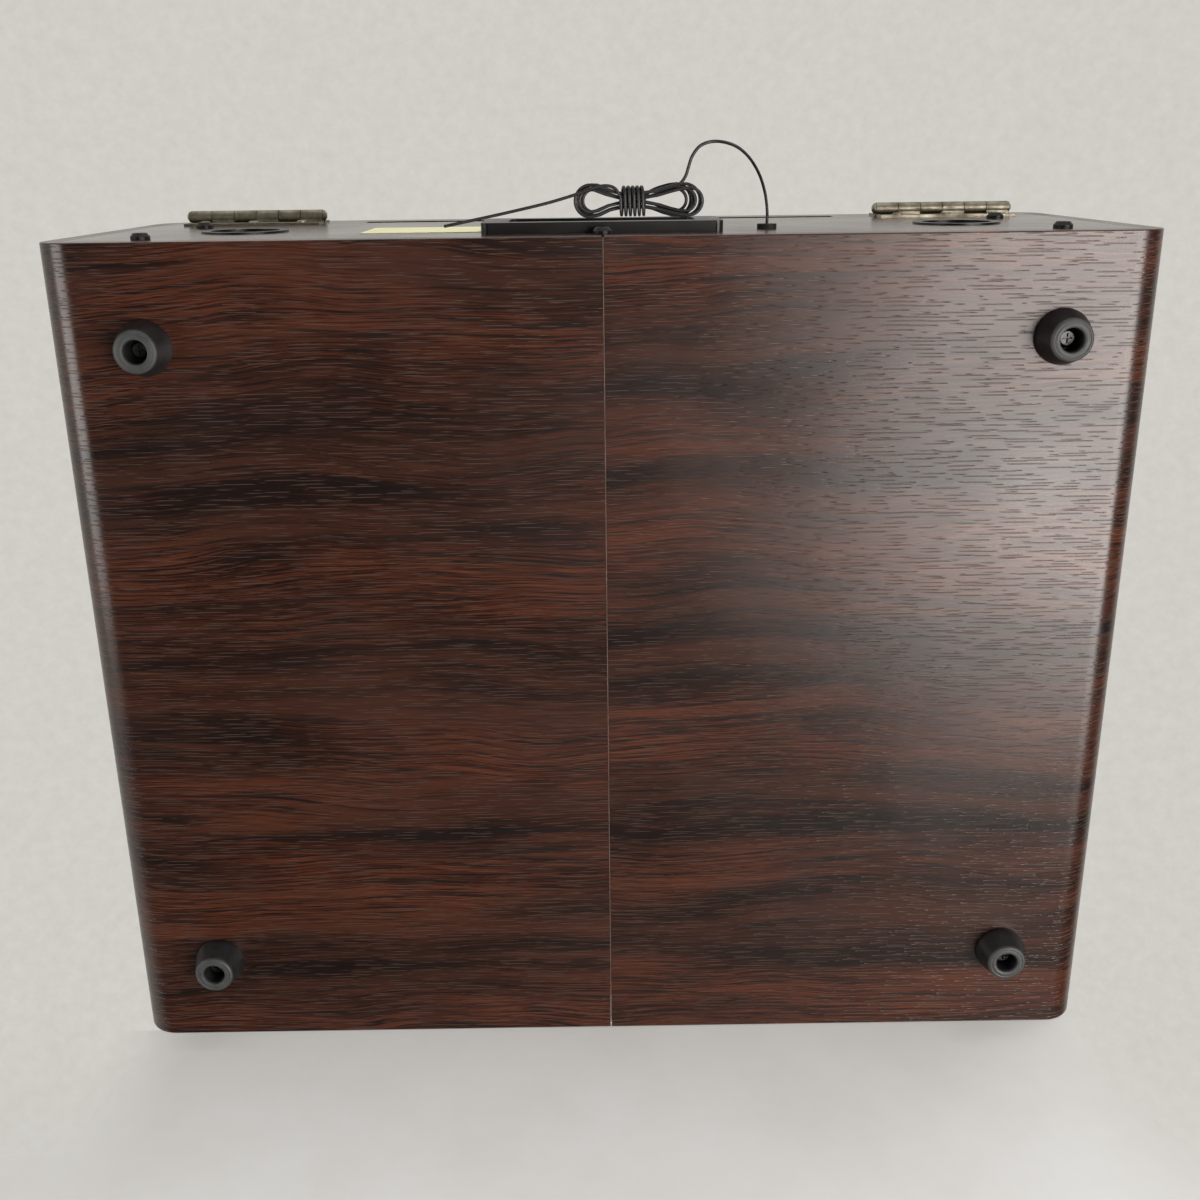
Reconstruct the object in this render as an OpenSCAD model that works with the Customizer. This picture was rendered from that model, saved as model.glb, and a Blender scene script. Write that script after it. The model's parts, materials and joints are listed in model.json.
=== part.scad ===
// Record player in a folded, wood-wrapped cabinet: radio front, hinged lid, belt-driven platter.
// Millimetres. The feet stand on z = 0, the front faces -Y, the rear faces +Y.

/* [Cabinet] */
// Width over the sides
cab_w = 440; // [432:1:470]
// Depth from the front edge to the rear face
cab_d = 360; // [358:1:390]
// Height of the base from its underside to the lid joint
base_h = 142; // [140:1:160]
// Height of the lid above the joint
lid_h = 30; // [29:1:45]
// Thickness of the folded board
wall = 9; // [8:0.5:10]
// Outer radius of the long folded edges
edge_r = 15; // [8:0.5:20]
// Slit where the two folded halves meet under the base
joint_slit = 0.6; // [0.4:0.1:1]
// Gap between the closed lid and the base
lid_gap = 0.8; // [0.6:0.1:1.2]
// Depth of the fascia behind the front edge
recess = 18; // [17.5:0.5:24]
// Thickness of the front baffle
baffle_t = 9; // [8:0.5:12]
// Width of the notch in the lid's rear rail
notch_w = 228; // [180:1:236]
// Height of the notch in the lid's rear rail
notch_h = 12; // [6:0.5:14]

/* [Battens] */
// Width of the batten over the bottom joint
batten_w = 40; // [30:1:44]
// Height of the batten over the bottom joint
batten_h = 15; // [13:0.5:15]
// Width of the upright cleats behind the rear panel
cleat_w = 38; // [36:0.5:40]
// Depth of the upright cleats behind the rear panel
cleat_d = 15; // [12:0.5:20]
// Side of the square ledges under the deck
ledge = 12; // [8:0.5:14]

/* [Feet] */
// Height of a rubber foot
foot_h = 12; // [10:0.5:18]
// Diameter of a foot where it meets the base
foot_base_d = 22; // [18:0.5:30]
// Diameter of a foot at the floor
foot_tip_d = 16; // [14:0.5:18]
// Diameter of the screw well in a foot
foot_well_d = 9; // [8:0.5:11]
// Rubber left under the screw head
foot_seat = 3; // [2:0.5:5]
// Distance of a foot's axis from the cabinet's edges
foot_inset = 40; // [30:1:60]

/* [Screws] */
// Diameter of a screw shank
shank_d = 3.4; // [3:0.1:3.8]
// Diameter of a pan head
head_d = 7.6; // [7:0.1:8]
// Height of a pan head
head_h = 2.6; // [2:0.1:3]
// Distance of the upright rows of rear screws from the cabinet's sides
rear_screw_in = 38; // [34:0.5:40]
// Height of the lower rear screws above the underside
rear_screw_low = 17; // [15.5:0.5:18]
// Height of the upper rear screws above the underside
rear_screw_high = 107; // [90:1:108]

/* [Hinges] */
// Length of a hinge
hinge_l = 64; // [50:1:70]
// Distance of a hinge's middle from the cabinet's side
hinge_in = 54; // [50:1:70]
// Diameter of a hinge barrel
barrel_d = 5.6; // [5:0.1:6]
// Distance of the hinge axis from the rear face
hinge_off = 3.7; // [3.6:0.1:4.5]
// Diameter of a hinge pin
hinge_pin_d = 2.5; // [2:0.1:3]
// Width of a leaf from the axis to its edge
leaf_w = 14; // [13:0.5:16]
// Thickness of a leaf
leaf_t = 1.1; // [0.8:0.1:1.5]
// Opening angle of the lid
lid_open = 72; // [60:1:72]

/* [Lid stay] */
// Length of the stay arm between its pins, and of the pivot from the hinge axis
stay_l = 75; // [70:1:80]
// Slope of the stay arm when the lid is closed
stay_slope = 8; // [7:0.5:9]
// Diameter of the stay pins
stay_pin_d = 4; // [3:0.1:5]
// Thickness of the stay arm and its track
stay_t = 2; // [1.5:0.1:2.5]

/* [Rear] */
// Width of the jack plate
plate_w = 97; // [90:1:98]
// Height of the jack plate
plate_h = 42; // [36:1:50]
// Distance the jack plate stands proud
plate_t = 4.4; // [3:0.1:6]
// Height of the plate's lower edge above the underside
plate_low = 23; // [22:0.5:30]
// Width of the recess that holds the jacks
well_w = 76; // [70:1:80]
// Height of the recess that holds the jacks
well_h = 26; // [22:1:30]
// Outside diameter of a phono jack
phono_d = 8.2; // [8:0.1:8.6]
// Bore of the power jack
power_bore_d = 6.2; // [5.5:0.1:6.5]
// Bore of a port tube
port_d = 29; // [24:0.5:30]
// Length of a port tube behind the rear face
port_l = 50; // [30:1:70]
// Distance of a port from the cabinet's side
port_in = 67; // [66:0.5:80]
// Height of the ports above the underside
port_z = 66; // [50:1:80]
// Width of the blank label
label_w = 50; // [40:1:52]
// Height of the blank label
label_h = 44; // [30:1:50]

/* [Deck] */
// Depth of the deck below the lid joint
deck_drop = 22; // [20:0.5:24]
// Thickness of the deck
deck_t = 6; // [5:0.5:8]
// Distance of the spindle to the left of the middle
spindle_x = 45; // [42:0.5:50]
// Radius of the platter
platter_r = 118; // [110:1:125]
// Diameter of the spindle where a record sits
spindle_d = 7.1; // [7:0.05:7.2]
// Diameter of the spindle inside the platter
spindle_base_d = 8; // [7.6:0.1:9]
// Radius of the belt drum under the platter
drum_r = 60; // [50:1:65]
// Radius of the motor pulley
pulley_r = 6; // [5:0.5:8]
// Radius of the motor
motor_r = 18; // [15:0.5:22]
// Height of the motor
motor_h = 24; // [18:1:30]

/* [Tonearm] */
// Distance of the arm's pivot from the inside of the right side
arm_in = 61; // [57:0.5:65]
// Length from the pivot to the stylus
arm_l = 232; // [228:0.5:235]
// Radius of the arm tube
arm_r = 4; // [3:0.25:4.5]
// Height of the arm tube's axis above the deck
arm_rise = 30; // [29:0.25:31]
// Swing of the arm from its rest
arm_swing = 50; // [45:1:52]
// Radius of the arm's base
arm_base_r = 40; // [38:0.5:42]
// Radius of the counterweight
weight_r = 11; // [9:0.25:11.5]
// Length of the counterweight
weight_l = 30; // [20:1:32]

/* [Fascia] */
// Radius of a loudspeaker's flange
speaker_r = 42; // [38:0.5:43]
// Distance of a loudspeaker from the cabinet's side
speaker_in = 72; // [68:0.5:76]
// Height of the loudspeakers above the bottom board
speaker_z = 60; // [56:0.5:62]
// Side of a square grille
grille_s = 100; // [94:1:102]
// Gap between the dial's frame and a grille
fascia_gap = 16; // [12:0.5:24]
// Height of the dial window
dial_h = 42; // [38:1:44]
// Height of the dial's middle above the bottom board
dial_z = 77; // [74:0.5:80]
// Height of the knobs above the bottom board
knob_z = 26; // [25.5:0.5:28]
// Distance between neighbouring knobs
knob_pitch = 58; // [52:0.5:60]
// Radius of a knob
knob_r = 15; // [10:0.5:17]
// Length of a knob
knob_l = 15; // [10:0.5:15]
// Diameter of a control shaft
shaft_d = 6; // [5:0.1:6.4]
// Distance of the dial pointer's end stop from the window's edge
pointer_clear = 16; // [14:0.5:26]
// Radius of the tuning drum
tune_r = 22.9; // [18:0.1:23.5]

/* [Antenna wire] */
// Diameter of the wire
wire_d = 1.2; // [1:0.05:1.3]
// Loops of the hank, in four layers
hank_loops = 6; // [4:2:8]
// Turns of the binding round the hank's waist
wrap_turns = 6; // [4:1:6]

/* [Hidden] */
$fn = 64;
part_gap = 0.3;            // clearance between bodies that move past each other
run_gap = 0.05;            // radial running clearance of a pin in its bore
side_gap = 0.2;            // clearance of a fixed piece in its cut-out
over = 1;                  // reach of a cutting tool past a face
half_w = cab_w / 2;
in_x = half_w - wall;      // inner face of a side
barrel_r = barrel_d / 2;
rear_reach = hinge_off + barrel_r;
y_front = -(cab_d + rear_reach) / 2;
y_rear = y_front + cab_d;
y_baffle = y_front + recess;
y_bay = y_baffle + baffle_t;
y_back = y_rear - wall;
z_base = foot_h;
z_in = z_base + wall;
z_seam = z_base + base_h;
z_lid = z_seam + lid_gap;
z_top = z_seam + lid_h;
z_ceiling = z_top - wall;
z_deck = z_seam - deck_drop;
z_under = z_deck - deck_t;
foot_x = half_w - foot_inset;
foot_y = [y_front + foot_inset, y_rear - foot_inset];
shank_r = shank_d / 2;
screw_l = 16;              // length of a cabinet screw's shank
rear_screw_x = half_w - rear_screw_in;
leaf_screw_l = 7;          // length of a hinge screw's shank
leaf_screw_r = 1.2;
leaf_head_r = 2.4;
leaf_head_h = 0.9;
hinge_x = half_w - hinge_in;
y_hinge = y_rear + hinge_off;
z_hinge = z_seam + lid_gap / 2;
hinge_pin_r = hinge_pin_d / 2;
knuckles = 6;
knuckle_pitch = hinge_l / knuckles;
leaf_clear = barrel_r + 0.4;   // free height beside the other leaf's knuckles
stay_x = -in_x;
stay_pin_r = stay_pin_d / 2;
track_off = 0.5;           // track's clearance from the cabinet side
arm_plane = track_off + stay_t + 0.4;
stay_y = y_hinge - stay_l * cos(stay_slope);
stay_z = z_hinge - stay_l * sin(stay_slope);
track_near = 2 * stay_l * cos(stay_slope + lid_open);
track_far = 2 * stay_l * cos(stay_slope);
track_low = 5;             // track's reach below the hinge axis
track_high = 9;            // track's reach above the hinge axis
plate_z = z_base + plate_low + plate_h / 2;
well_wall = 1.6;
well_floor = 2;
well_in = 7;               // depth of the well behind the rear face
phono_x = [8, 26];
power_x = -22;
phono_l = 9;
jack_body = 12;            // side and depth of a jack's body inside the cabinet
jack_neck_r = 3.2;
port_x = half_w - port_in;
port_wall = 2;
port_r = port_d / 2;
port_flange = 1.8;
port_flange_t = 0.8;
label_x = 75;              // middle of the label
label_rise = 64;
label_z = z_base + label_rise;
label_t = 0.2;
sp_x = -spindle_x;
sp_y = (y_bay + y_back) / 2;
hub_rise = 3.3;            // heights of the platter's levels above the deck
disc_rise = 5.5;
disc_top = 12;
mat_top = 14;
tip_top = 24;
belt_t = 1;
belt_low = 1.6;
belt_high = 5;
pulley_off = 60;           // pulley's distance to the left of the spindle and behind it
pulley_x = sp_x - pulley_off;
pulley_y = sp_y + pulley_off;
hub_r = 14;
flange_r = 13;
motor_shaft_r = 1.15;
motor_floor = 3;
head_front = 12;           // reach of the headshell in front of the stylus
head_l = 34;
head_w = 16;
head_t = 4;
weight_y = 12;             // front face of the counterweight behind the pivot
arm_tail = max(arm_base_r, weight_y + weight_l);   // reach behind the pivot
arm_lead = 13 / 38;        // part of the spare depth that lies in front of the headshell
arm_spare = y_back - y_bay - head_front - arm_l - arm_tail;
arm_x = in_x - arm_in;
arm_y = y_bay + arm_lead * arm_spare + head_front + arm_l;
arm_z = z_deck + arm_rise;
yoke_low = 12.3;           // underside of the yoke above the deck
yoke_disc = 3.7;
yoke_in = 7;               // inner half width between the yoke's ears
yoke_ear = 3;
yoke_r = 14;
yoke_d = 12;               // depth of an ear
yoke_top = 4;              // ear's reach above the arm's axis
yoke_pin_r = 3;
cross_pin_r = 1.5;
tube_front = arm_l - 26;   // front end of the tube from the pivot
cue_r = 32;                // radius of the lift bar about the pivot
cue_bar = 5;
cue_mid = 25;              // angle of the lift post from the arm's rest
cue_span = 34;             // half angle of the lift bar
cue_post_r = 2;
lug_x = 30;
lug_t = 6;
lug_rise = 17;
rest_back = 150;           // distance of the arm rest in front of the pivot
selector_x = in_x - 23;
selector_y = sp_y - 66;
selector_r = 8;
speaker_x = half_w - speaker_in;
spk_z = z_in + speaker_z;
spk_open_r = speaker_r - 7;
speaker_flange_t = 2.5;
cone_depth = 20;
basket_depth = 28;
magnet_r = 26;
magnet_h = 14;
z_dial = z_in + dial_z;
bezel_rim = 6;
bezel_t = 3;
bezel_lip = 1;
dial_w = 2 * (speaker_x - grille_s / 2 - fascia_gap - bezel_rim);
pointer_travel = dial_w / 2 - pointer_clear;
glass_t = 2;
scale_t = 1.5;
scale_rim = 2;
slot_drop = 15;            // pointer slot below the dial's middle
slot_h = 2.8;
rail_r = 1.5;
rail_back = 17;            // rail behind the baffle
cord_r = 0.4;
cord_gap = 0.1;            // dial cord's clearance on its idlers
cord_back = rail_back + rail_r + cord_r + part_gap;   // dial cord plane behind the baffle
ear_x = dial_w / 2 + 4;
ear_t = 1.5;
z_rail = z_dial - slot_drop;
carriage_w = 10;
carriage_h = 9;
z_knob = z_in + knob_z;
shaft_r = shaft_d / 2;
bush_r = shaft_r + 1.2;
pot_s = 18;
pot_d = 12;
tune_t = 5;
tune_back = cord_back - tune_t / 2;
condenser_back = 23;
can_s = 24;                // side and depth of the condenser's case
can_d = 17;
can_plate_t = 3;
can_post = 6;
shaft_end = 8;             // tuning shaft's reach into the case
cord_rise = carriage_h / 2 + 0.8;
idler_x = dial_w / 2 - 1;
idler_r = 1.5;
idler_z = z_rail + cord_rise - cord_r - cord_gap - idler_r;
idler_low = z_rail - 5;    // second idler on the left, under the carriage
board = [150, 110, 1.6];
board_y = 0;
board_z = z_in + 20;
standoff_r = 4;
standoff_in = 8;
transformer = [16, 50, 26];
transformer_at = [-60, 20];
tuner_can = [34, 20, 12];
tuner_at = [-30, 16];
chip = [18, 18, 5];
chip_at = [16, 24];
capacitor_r = 5;
capacitor_h = 16;
capacitor_pitch = 13;
capacitor_at = [20, 70];

// Antenna wire: places are measured from the hank's waist, x to the left, y to the rear, z up.
grommet_x = -68;
grommet_z = z_base + 41;
grommet_r = 4;
grommet_t = 2;
wire_r = wire_d / 2;
wire_sides = 8;
loop_sides = 6;
loop_rings = 24;
wrap_rings = 16;
wire_gap = 0.46;
wire_step = wire_d + wire_gap;
layers = 4;
turns_per_layer = hank_loops / layers;
hank_at = [-10.8, y_rear + 13, 0];
waist_w = (turns_per_layer + 0.22) * wire_step;   // half width of the bundle at its waist
waist_flat = 4;
fold_r = turns_per_layer * wire_step + 3 * wire_d;   // outer radius of a fold
reach_right = 21.3 + fold_r;
reach_left = 15.4 + fold_r;
step_right = 1.6;          // each layer's folds end a little short of the one below
step_left = 0.6;
tip_sag = 1.9;             // drop of the right folds on to the table
climb = 1 / 6;             // turn over which the wire climbs a layer, along one run
wrap_a = waist_w + wire_step + 0.45;
wrap_b = (layers + 1) / 2 * wire_step + 0.3;
hank_z = wrap_b + wire_r + 0.05;
wrap_square = 0.55;        // exponent that squares the binding's oval
wrap_l = wrap_turns * wire_step;
lead_in = -0.05;           // turns from the first run's middle where the lead comes in
loops_end = hank_loops - 0.07;
wrap_from = 90;
wrap_end = wrap_turns - 1 + (270 - wrap_from) / 360;
lead_points = [[57.2, -11, 53], [57.2, -6, 53], [56, 1, 52], [53, 8, 47], [48, 14, 36], [42, 18, 21],
    [36, 20, 8],
    [30, 20.6, 1.8], [25.2, 19.2, 0.7], [22.2, 15.6, 0.7], [20.8, 11.6, 0.75], [19.8, 8.6, 1]];
tail_points = [[-6, 4.4, 0.66], [-9, 5.6, 0.66], [-13, 5.2, 0.66], [-18, 3.6, 0.66], [-23, 2, 0.66],
    [-32, -0.4, 0.66],
    [-45, -3.2, 0.66], [-58, -5.8, 0.66], [-70, -8.1, 0.66]];

// Shared shapes

module round_rect(w, h, r) {
    square([w - 2 * r, h], center = true);
    square([w, h - 2 * r], center = true);
    for (x = [-1, 1], y = [-1, 1]) translate([x * (w / 2 - r), y * (h / 2 - r)]) circle(r);
}

// Plate in the XZ plane that starts at y and grows to the rear
module upright(x, y, z, t) {
    translate([x, y + t, z]) rotate([90, 0, 0]) linear_extrude(t) children();
}

// Cylinder that starts at y and runs to the rear
module along_y(x, y, z, r, l) {
    translate([x, y, z]) rotate([-90, 0, 0]) cylinder(r = r, h = l);
}

// Cylinder that starts at x and runs to the right
module along_x(x, y, z, r, l) {
    translate([x, y, z]) rotate([0, 90, 0]) cylinder(r = r, h = l);
}

// Pan-head screw whose head rests on z = 0 and whose shank runs along +Z
module pan_screw(r, h, shank, l) {
    difference() {
        union() {
            rotate_extrude() polygon([[0, 0], [r, 0], [r, -h / 2], [r * 0.7, -h], [0, -h]]);
            cylinder(r = shank, h = l);
        }
        for (a = [0, 90]) rotate(a) translate([-r / 2, -h * 0.12, -h - over]) cube([r, h * 0.24,
            h * 0.4 + over]);
    }
}

// Board folded down one side: an upright side, a level board and the rounded edge between them
module folded_half(height) {
    difference() {
        union() {
            translate([in_x, 0]) square([wall, height]);
            translate([joint_slit / 2, 0]) square([half_w - joint_slit / 2, wall]);
        }
        translate([half_w - edge_r, 0]) difference() {
            translate([0, -over]) square([edge_r + over, edge_r + over]);
            translate([0, edge_r]) circle(edge_r);
        }
    }
}

module along_depth() {
    translate([0, y_rear, 0]) rotate([90, 0, 0]) linear_extrude(cab_d) children();
}

function spots(xs, ys) = [for (x = xs, y = ys) [x, y]];
rear_screws = concat(spots([-rear_screw_x, rear_screw_x], [z_base + rear_screw_low, z_base + rear_screw_high]),
    [[0, z_base + rear_screw_low]]);
leaf_screw_xs = [for (s = [-1, 1], i = [-1, 0, 1]) s * hinge_x + i * hinge_l * 0.36];
leaf_screw_drop = (leaf_w + leaf_clear) / 2;

// Cabinet

module cabinet_half(side) {
    difference() {
        along_depth() translate([0, z_base]) mirror([side < 0 ? 1 : 0, 0]) folded_half(base_h);
        for (y = foot_y) translate([side * foot_x, y, z_base - over])
            cylinder(r = shank_r + run_gap, h = wall + 2 * over);
    }
}

module cabinet_left() { color("saddlebrown") cabinet_half(-1); }

module cabinet_right() { color("saddlebrown") cabinet_half(1); }

module cabinet_battens() {
    ledge_l = y_back - cleat_d - y_bay;
    color("burlywood") difference() {
        union() {
            translate([-batten_w / 2, y_bay, z_in]) cube([batten_w, y_back - y_bay, batten_h]);
            for (s = [-1, 1]) {
                translate([s * (in_x - cleat_w / 2) - cleat_w / 2, y_back - cleat_d, z_in])
                    cube([cleat_w, cleat_d, z_under - z_in]);
                translate([s * (in_x - ledge / 2) - ledge / 2, y_bay, z_under - ledge])
                    cube([ledge, ledge_l - part_gap, ledge]);
            }
        }
        for (p = rear_screws) along_y(p[0], y_rear - screw_l - over, p[1], shank_r + run_gap,
            screw_l + 2 * over);
    }
}

module front_baffle() {
    height = z_seam - wall - z_in;
    color("sienna") difference() {
        translate([-in_x, y_baffle, z_in]) cube([2 * in_x, baffle_t, height]);
        for (s = [-1, 1]) along_y(s * speaker_x, y_baffle - over, spk_z, spk_open_r, baffle_t + 2 * over);
        translate([-dial_w / 2 - side_gap, y_baffle - over, z_dial - dial_h / 2 - side_gap])
            cube([dial_w + 2 * side_gap, baffle_t + 2 * over, dial_h + 2 * side_gap]);
        for (i = [-1, 0, 1]) along_y(i * knob_pitch, y_baffle - over, z_knob, bush_r + run_gap,
            baffle_t + 2 * over);
    }
}

module front_rail() {
    color("saddlebrown") translate([-in_x, y_front, z_seam - wall]) cube([2 * in_x, recess + baffle_t, wall]);
}

module rear_panel() {
    color("saddlebrown") difference() {
        translate([-in_x, y_back, z_in]) cube([2 * in_x, wall, z_seam - z_in]);
        for (s = [-1, 1])
            along_y(s * port_x, y_back - over, z_base + port_z, port_r + port_wall + side_gap, wall + 2 * over);
        translate([-well_w / 2 - well_wall - side_gap, y_back - over,
            plate_z - well_h / 2 - well_wall - side_gap])
            cube([well_w + 2 * (well_wall + side_gap), wall + 2 * over, well_h + 2 * (well_wall + side_gap)]);
        along_y(grommet_x, y_back - over, grommet_z, grommet_r - 1 + run_gap, wall + 2 * over);
        for (p = rear_screws) along_y(p[0], y_back - over, p[1], shank_r + run_gap, wall + 2 * over);
        for (x = leaf_screw_xs)
            along_y(x, y_rear - leaf_screw_l - over, z_hinge - leaf_screw_drop, leaf_screw_r + run_gap,
                leaf_screw_l + 2 * over);
    }
}

module deck_plate() {
    color("dimgray") difference() {
        translate([-in_x, y_bay, z_under]) cube([2 * in_x, y_back - y_bay, deck_t]);
        translate([sp_x, sp_y, z_under - over]) cylinder(r = spindle_base_d / 2 + run_gap,
            h = deck_t + 2 * over);
        translate([pulley_x, pulley_y, z_under - over]) cylinder(r = 4, h = deck_t + 2 * over);
        translate([selector_x, selector_y, z_under - over]) cylinder(r = cue_post_r + run_gap,
            h = deck_t + 2 * over);
    }
}

module feet() {
    seat = foot_h - foot_seat;
    hole = shank_r + 0.3;
    color("black") for (s = [-1, 1], y = foot_y) translate([s * foot_x, y, 0]) rotate_extrude()
        polygon([[hole, foot_h], [foot_base_d / 2, foot_h], [foot_base_d / 2, foot_h - 1.2],
            [foot_tip_d / 2, 0.6],
            [foot_tip_d / 2 - 0.6, 0], [foot_well_d / 2, 0], [foot_well_d / 2, seat], [hole, seat]]);
}

module foot_screws() {
    color("silver") for (s = [-1, 1], y = foot_y) translate([s * foot_x, y, foot_h - foot_seat])
        pan_screw(head_d / 2, head_h, shank_r, foot_seat + wall - 1);
}

module rear_panel_screws() {
    color("black") for (p = rear_screws) translate([p[0], y_rear, p[1]]) rotate([90, 0, 0])
        pan_screw(head_d / 2, head_h, shank_r, screw_l);
}

// Rear fittings

module jack_plate() {
    cup = well_in + well_floor;
    color("black") difference() {
        union() {
            upright(0, y_rear, plate_z, plate_t) round_rect(plate_w, plate_h, 3);
            upright(0, y_rear - cup, plate_z, cup) square([well_w + 2 * well_wall,
                well_h + 2 * well_wall], center = true);
        }
        upright(0, y_rear - well_in, plate_z, well_in + plate_t + over) round_rect(well_w, well_h, 2);
        for (x = phono_x) along_y(x, y_rear - cup - over, plate_z, jack_neck_r + run_gap, cup);
        along_y(power_x, y_rear - cup - over, plate_z, power_bore_d / 2 + 1 + run_gap, cup);
    }
}

module phono_jacks() {
    floor_y = y_rear - well_in;
    color("white") for (x = phono_x) difference() {
        union() {
            along_y(x, floor_y, plate_z, phono_d / 2, phono_l);
            along_y(x, floor_y - well_floor, plate_z, jack_neck_r, well_floor);
            translate([x - jack_body / 2, floor_y - well_floor - jack_body, plate_z - jack_body / 2])
                cube([jack_body, jack_body, jack_body]);
        }
        along_y(x, floor_y - well_floor, plate_z, phono_d / 2 - 2.4, phono_l + well_floor + over);
    }
}

module power_jack() {
    floor_y = y_rear - well_in;
    collar = power_bore_d / 2 + 1;
    color("black") {
        difference() {
            union() {
                along_y(power_x, floor_y - well_floor, plate_z, collar, well_floor + 1);
                translate([power_x - jack_body / 2, floor_y - well_floor - jack_body, plate_z - jack_body / 2])
                    cube([jack_body, jack_body, jack_body]);
            }
            along_y(power_x, floor_y - well_floor - jack_body + 3, plate_z, power_bore_d / 2,
                jack_body + well_floor);
        }
        along_y(power_x, floor_y - well_floor - jack_body + 2, plate_z, 1, jack_body - 2);
    }
}

module port_tubes() {
    color("black") for (s = [-1, 1]) difference() {
        union() {
            along_y(s * port_x, y_rear - port_l, z_base + port_z, port_r + port_wall, port_l + port_flange_t);
            along_y(s * port_x, y_rear, z_base + port_z, port_r + port_wall + port_flange, port_flange_t);
        }
        along_y(s * port_x, y_rear - port_l - over, z_base + port_z, port_r, port_l + 2 * over);
    }
}

module blank_label() {
    color("khaki") upright(label_x, y_rear, label_z, label_t) round_rect(label_w, label_h, 1.5);
}

module antenna_grommet() {
    color("black") difference() {
        union() {
            along_y(grommet_x, y_back, grommet_z, grommet_r - 1, wall);
            along_y(grommet_x, y_rear, grommet_z, grommet_r, grommet_t);
        }
        along_y(grommet_x, y_back - over, grommet_z, wire_r + run_gap, wall + grommet_t + 2 * over);
    }
}

// Antenna wire

function unit(v) = v / norm(v);
function tangent(p, i) = unit(p[min(i + 1, len(p) - 1)] - p[max(i - 1, 0)]);
function level(n, t) = unit(n - (n * t) * t);
// Normals carried along the path without twist
function normals(p, first) = [for (i = 0, n = level(first, tangent(p, 0)); i < len(p);
    i = i + 1, n = level(n, tangent(p, min(i, len(p) - 1)))) n];

module tube(p, r, sides) {
    n = normals(p, abs(tangent(p, 0).z) < 0.9 ? [0, 0, 1] : [1, 0, 0]);
    points = [for (i = [0:len(p) - 1], k = [0:sides - 1])
        let (t = tangent(p, i), a = 360 * k / sides) p[i] + r * (cos(a) * n[i] + sin(a) * cross(t, n[i]))];
    last = (len(p) - 1) * sides;
    skin = [for (i = [0:len(p) - 2], k = [0:sides - 1], h = [0, 1])
        let (a = i * sides + k, b = i * sides + (k + 1) % sides)
        h == 0 ? [a, b + sides, b] : [a, a + sides, b + sides]];
    ends = [for (k = [1:sides - 2], h = [0, 1]) h == 0 ? [0, k, k + 1] : [last, last + k + 1, last + k]];
    polyhedron(points, concat(skin, ends));
}

// Smooth curve through chosen points, with a few steps between neighbours
function curve_point(a, b, c, d, s) =
    0.5 * (2 * b + (c - a) * s + (2 * a - 5 * b + 4 * c - d) * s * s + (3 * b - a - 3 * c + d) * s * s * s);
function curve(p, steps) = concat([for (i = [0:len(p) - 2], k = [0:steps - 1])
    curve_point(p[max(i - 1, 0)], p[i], p[i + 1], p[min(i + 2, len(p) - 1)], k / steps)], [p[len(p) - 1]]);

// Place on the wire's own axes to a place on the part
function laid(p) = hank_at + [-p.x, p.y, p.z];

function smooth(q) = q <= 0 ? 0 : q >= 1 ? 1 : q * q * (3 - 2 * q);
function smooth_slope(q) = q <= 0 || q >= 1 ? 0 : 6 * q * (1 - q);
// Inset of the spiral in turns: in over one layer, out over the next
function inset(turn) = turn <= 0 ? turn :
    turns_per_layer - abs(turns_per_layer - (turn - 2 * turns_per_layer * floor(turn / (2 * turns_per_layer))));
// Layer, climbed along the run where the spiral turns back
function layer(turn) = [for (k = [1:layers - 1]) smooth((turn - k * turns_per_layer) / climb + 0.5)] * [1, 1, 1];
// Half width of the outer loop at x, and its slope, between the waist and a fold whose centre is at c
function run_width(x, c) = waist_w + (fold_r - waist_w) * smooth((abs(x) - waist_flat) / (c - waist_flat));
function run_slope(x, c) =
    sign(x) * (fold_r - waist_w) * smooth_slope((abs(x) - waist_flat) / (c - waist_flat)) / (c - waist_flat);
// Outer loop and its outward normal, as [x, y, nx, ny]; f runs from the right fold's tip
function fold(c, a) = [c + fold_r * cos(a), fold_r * sin(a), cos(a), sin(a)];
function run(x, c, side) =
    let (d = run_slope(x, c), l = norm([d, 1])) [x, side * run_width(x, c), -d / l, side / l];
function outer_loop(f, right, left) =
    f < 1 / 6 ? fold(right, 540 * f) :
    f < 1 / 3 ? let (x = right - (right + left) * (6 * f - 1)) run(x, x > 0 ? right : left, 1) :
    f < 2 / 3 ? fold(-left, 540 * f - 90) :
    f < 5 / 6 ? let (x = (right + left) * (6 * f - 4) - left) run(x, x > 0 ? right : left, -1) :
    fold(right, 540 * f - 540);
function loop_point(turn) =
    let (n = layer(turn), f = turn + 0.25 - floor(turn + 0.25),
        o = outer_loop(f, reach_right - fold_r - step_right * n, reach_left - fold_r - step_left * n),
        x = o[0] - inset(turn) * wire_step * o[2], y = o[1] - inset(turn) * wire_step * o[3])
    [x, y, hank_z + (n - (layers - 1) / 2) * wire_step - tip_sag * smooth(x / reach_right)];
function bent(v, e) = sign(v) * pow(abs(v), e);
function wrap_point(turn) =
    let (a = wrap_from + 360 * turn)
    [wrap_l / 2 - wire_step * turn, wrap_a * bent(cos(a), wrap_square), hank_z + wrap_b * bent(sin(a),
        wrap_square)];
function bezier(a, b, c, d, q) =
    pow(1 - q, 3) * a + 3 * q * pow(1 - q, 2) * b + 3 * q * q * (1 - q) * c + pow(q, 3) * d;

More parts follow.
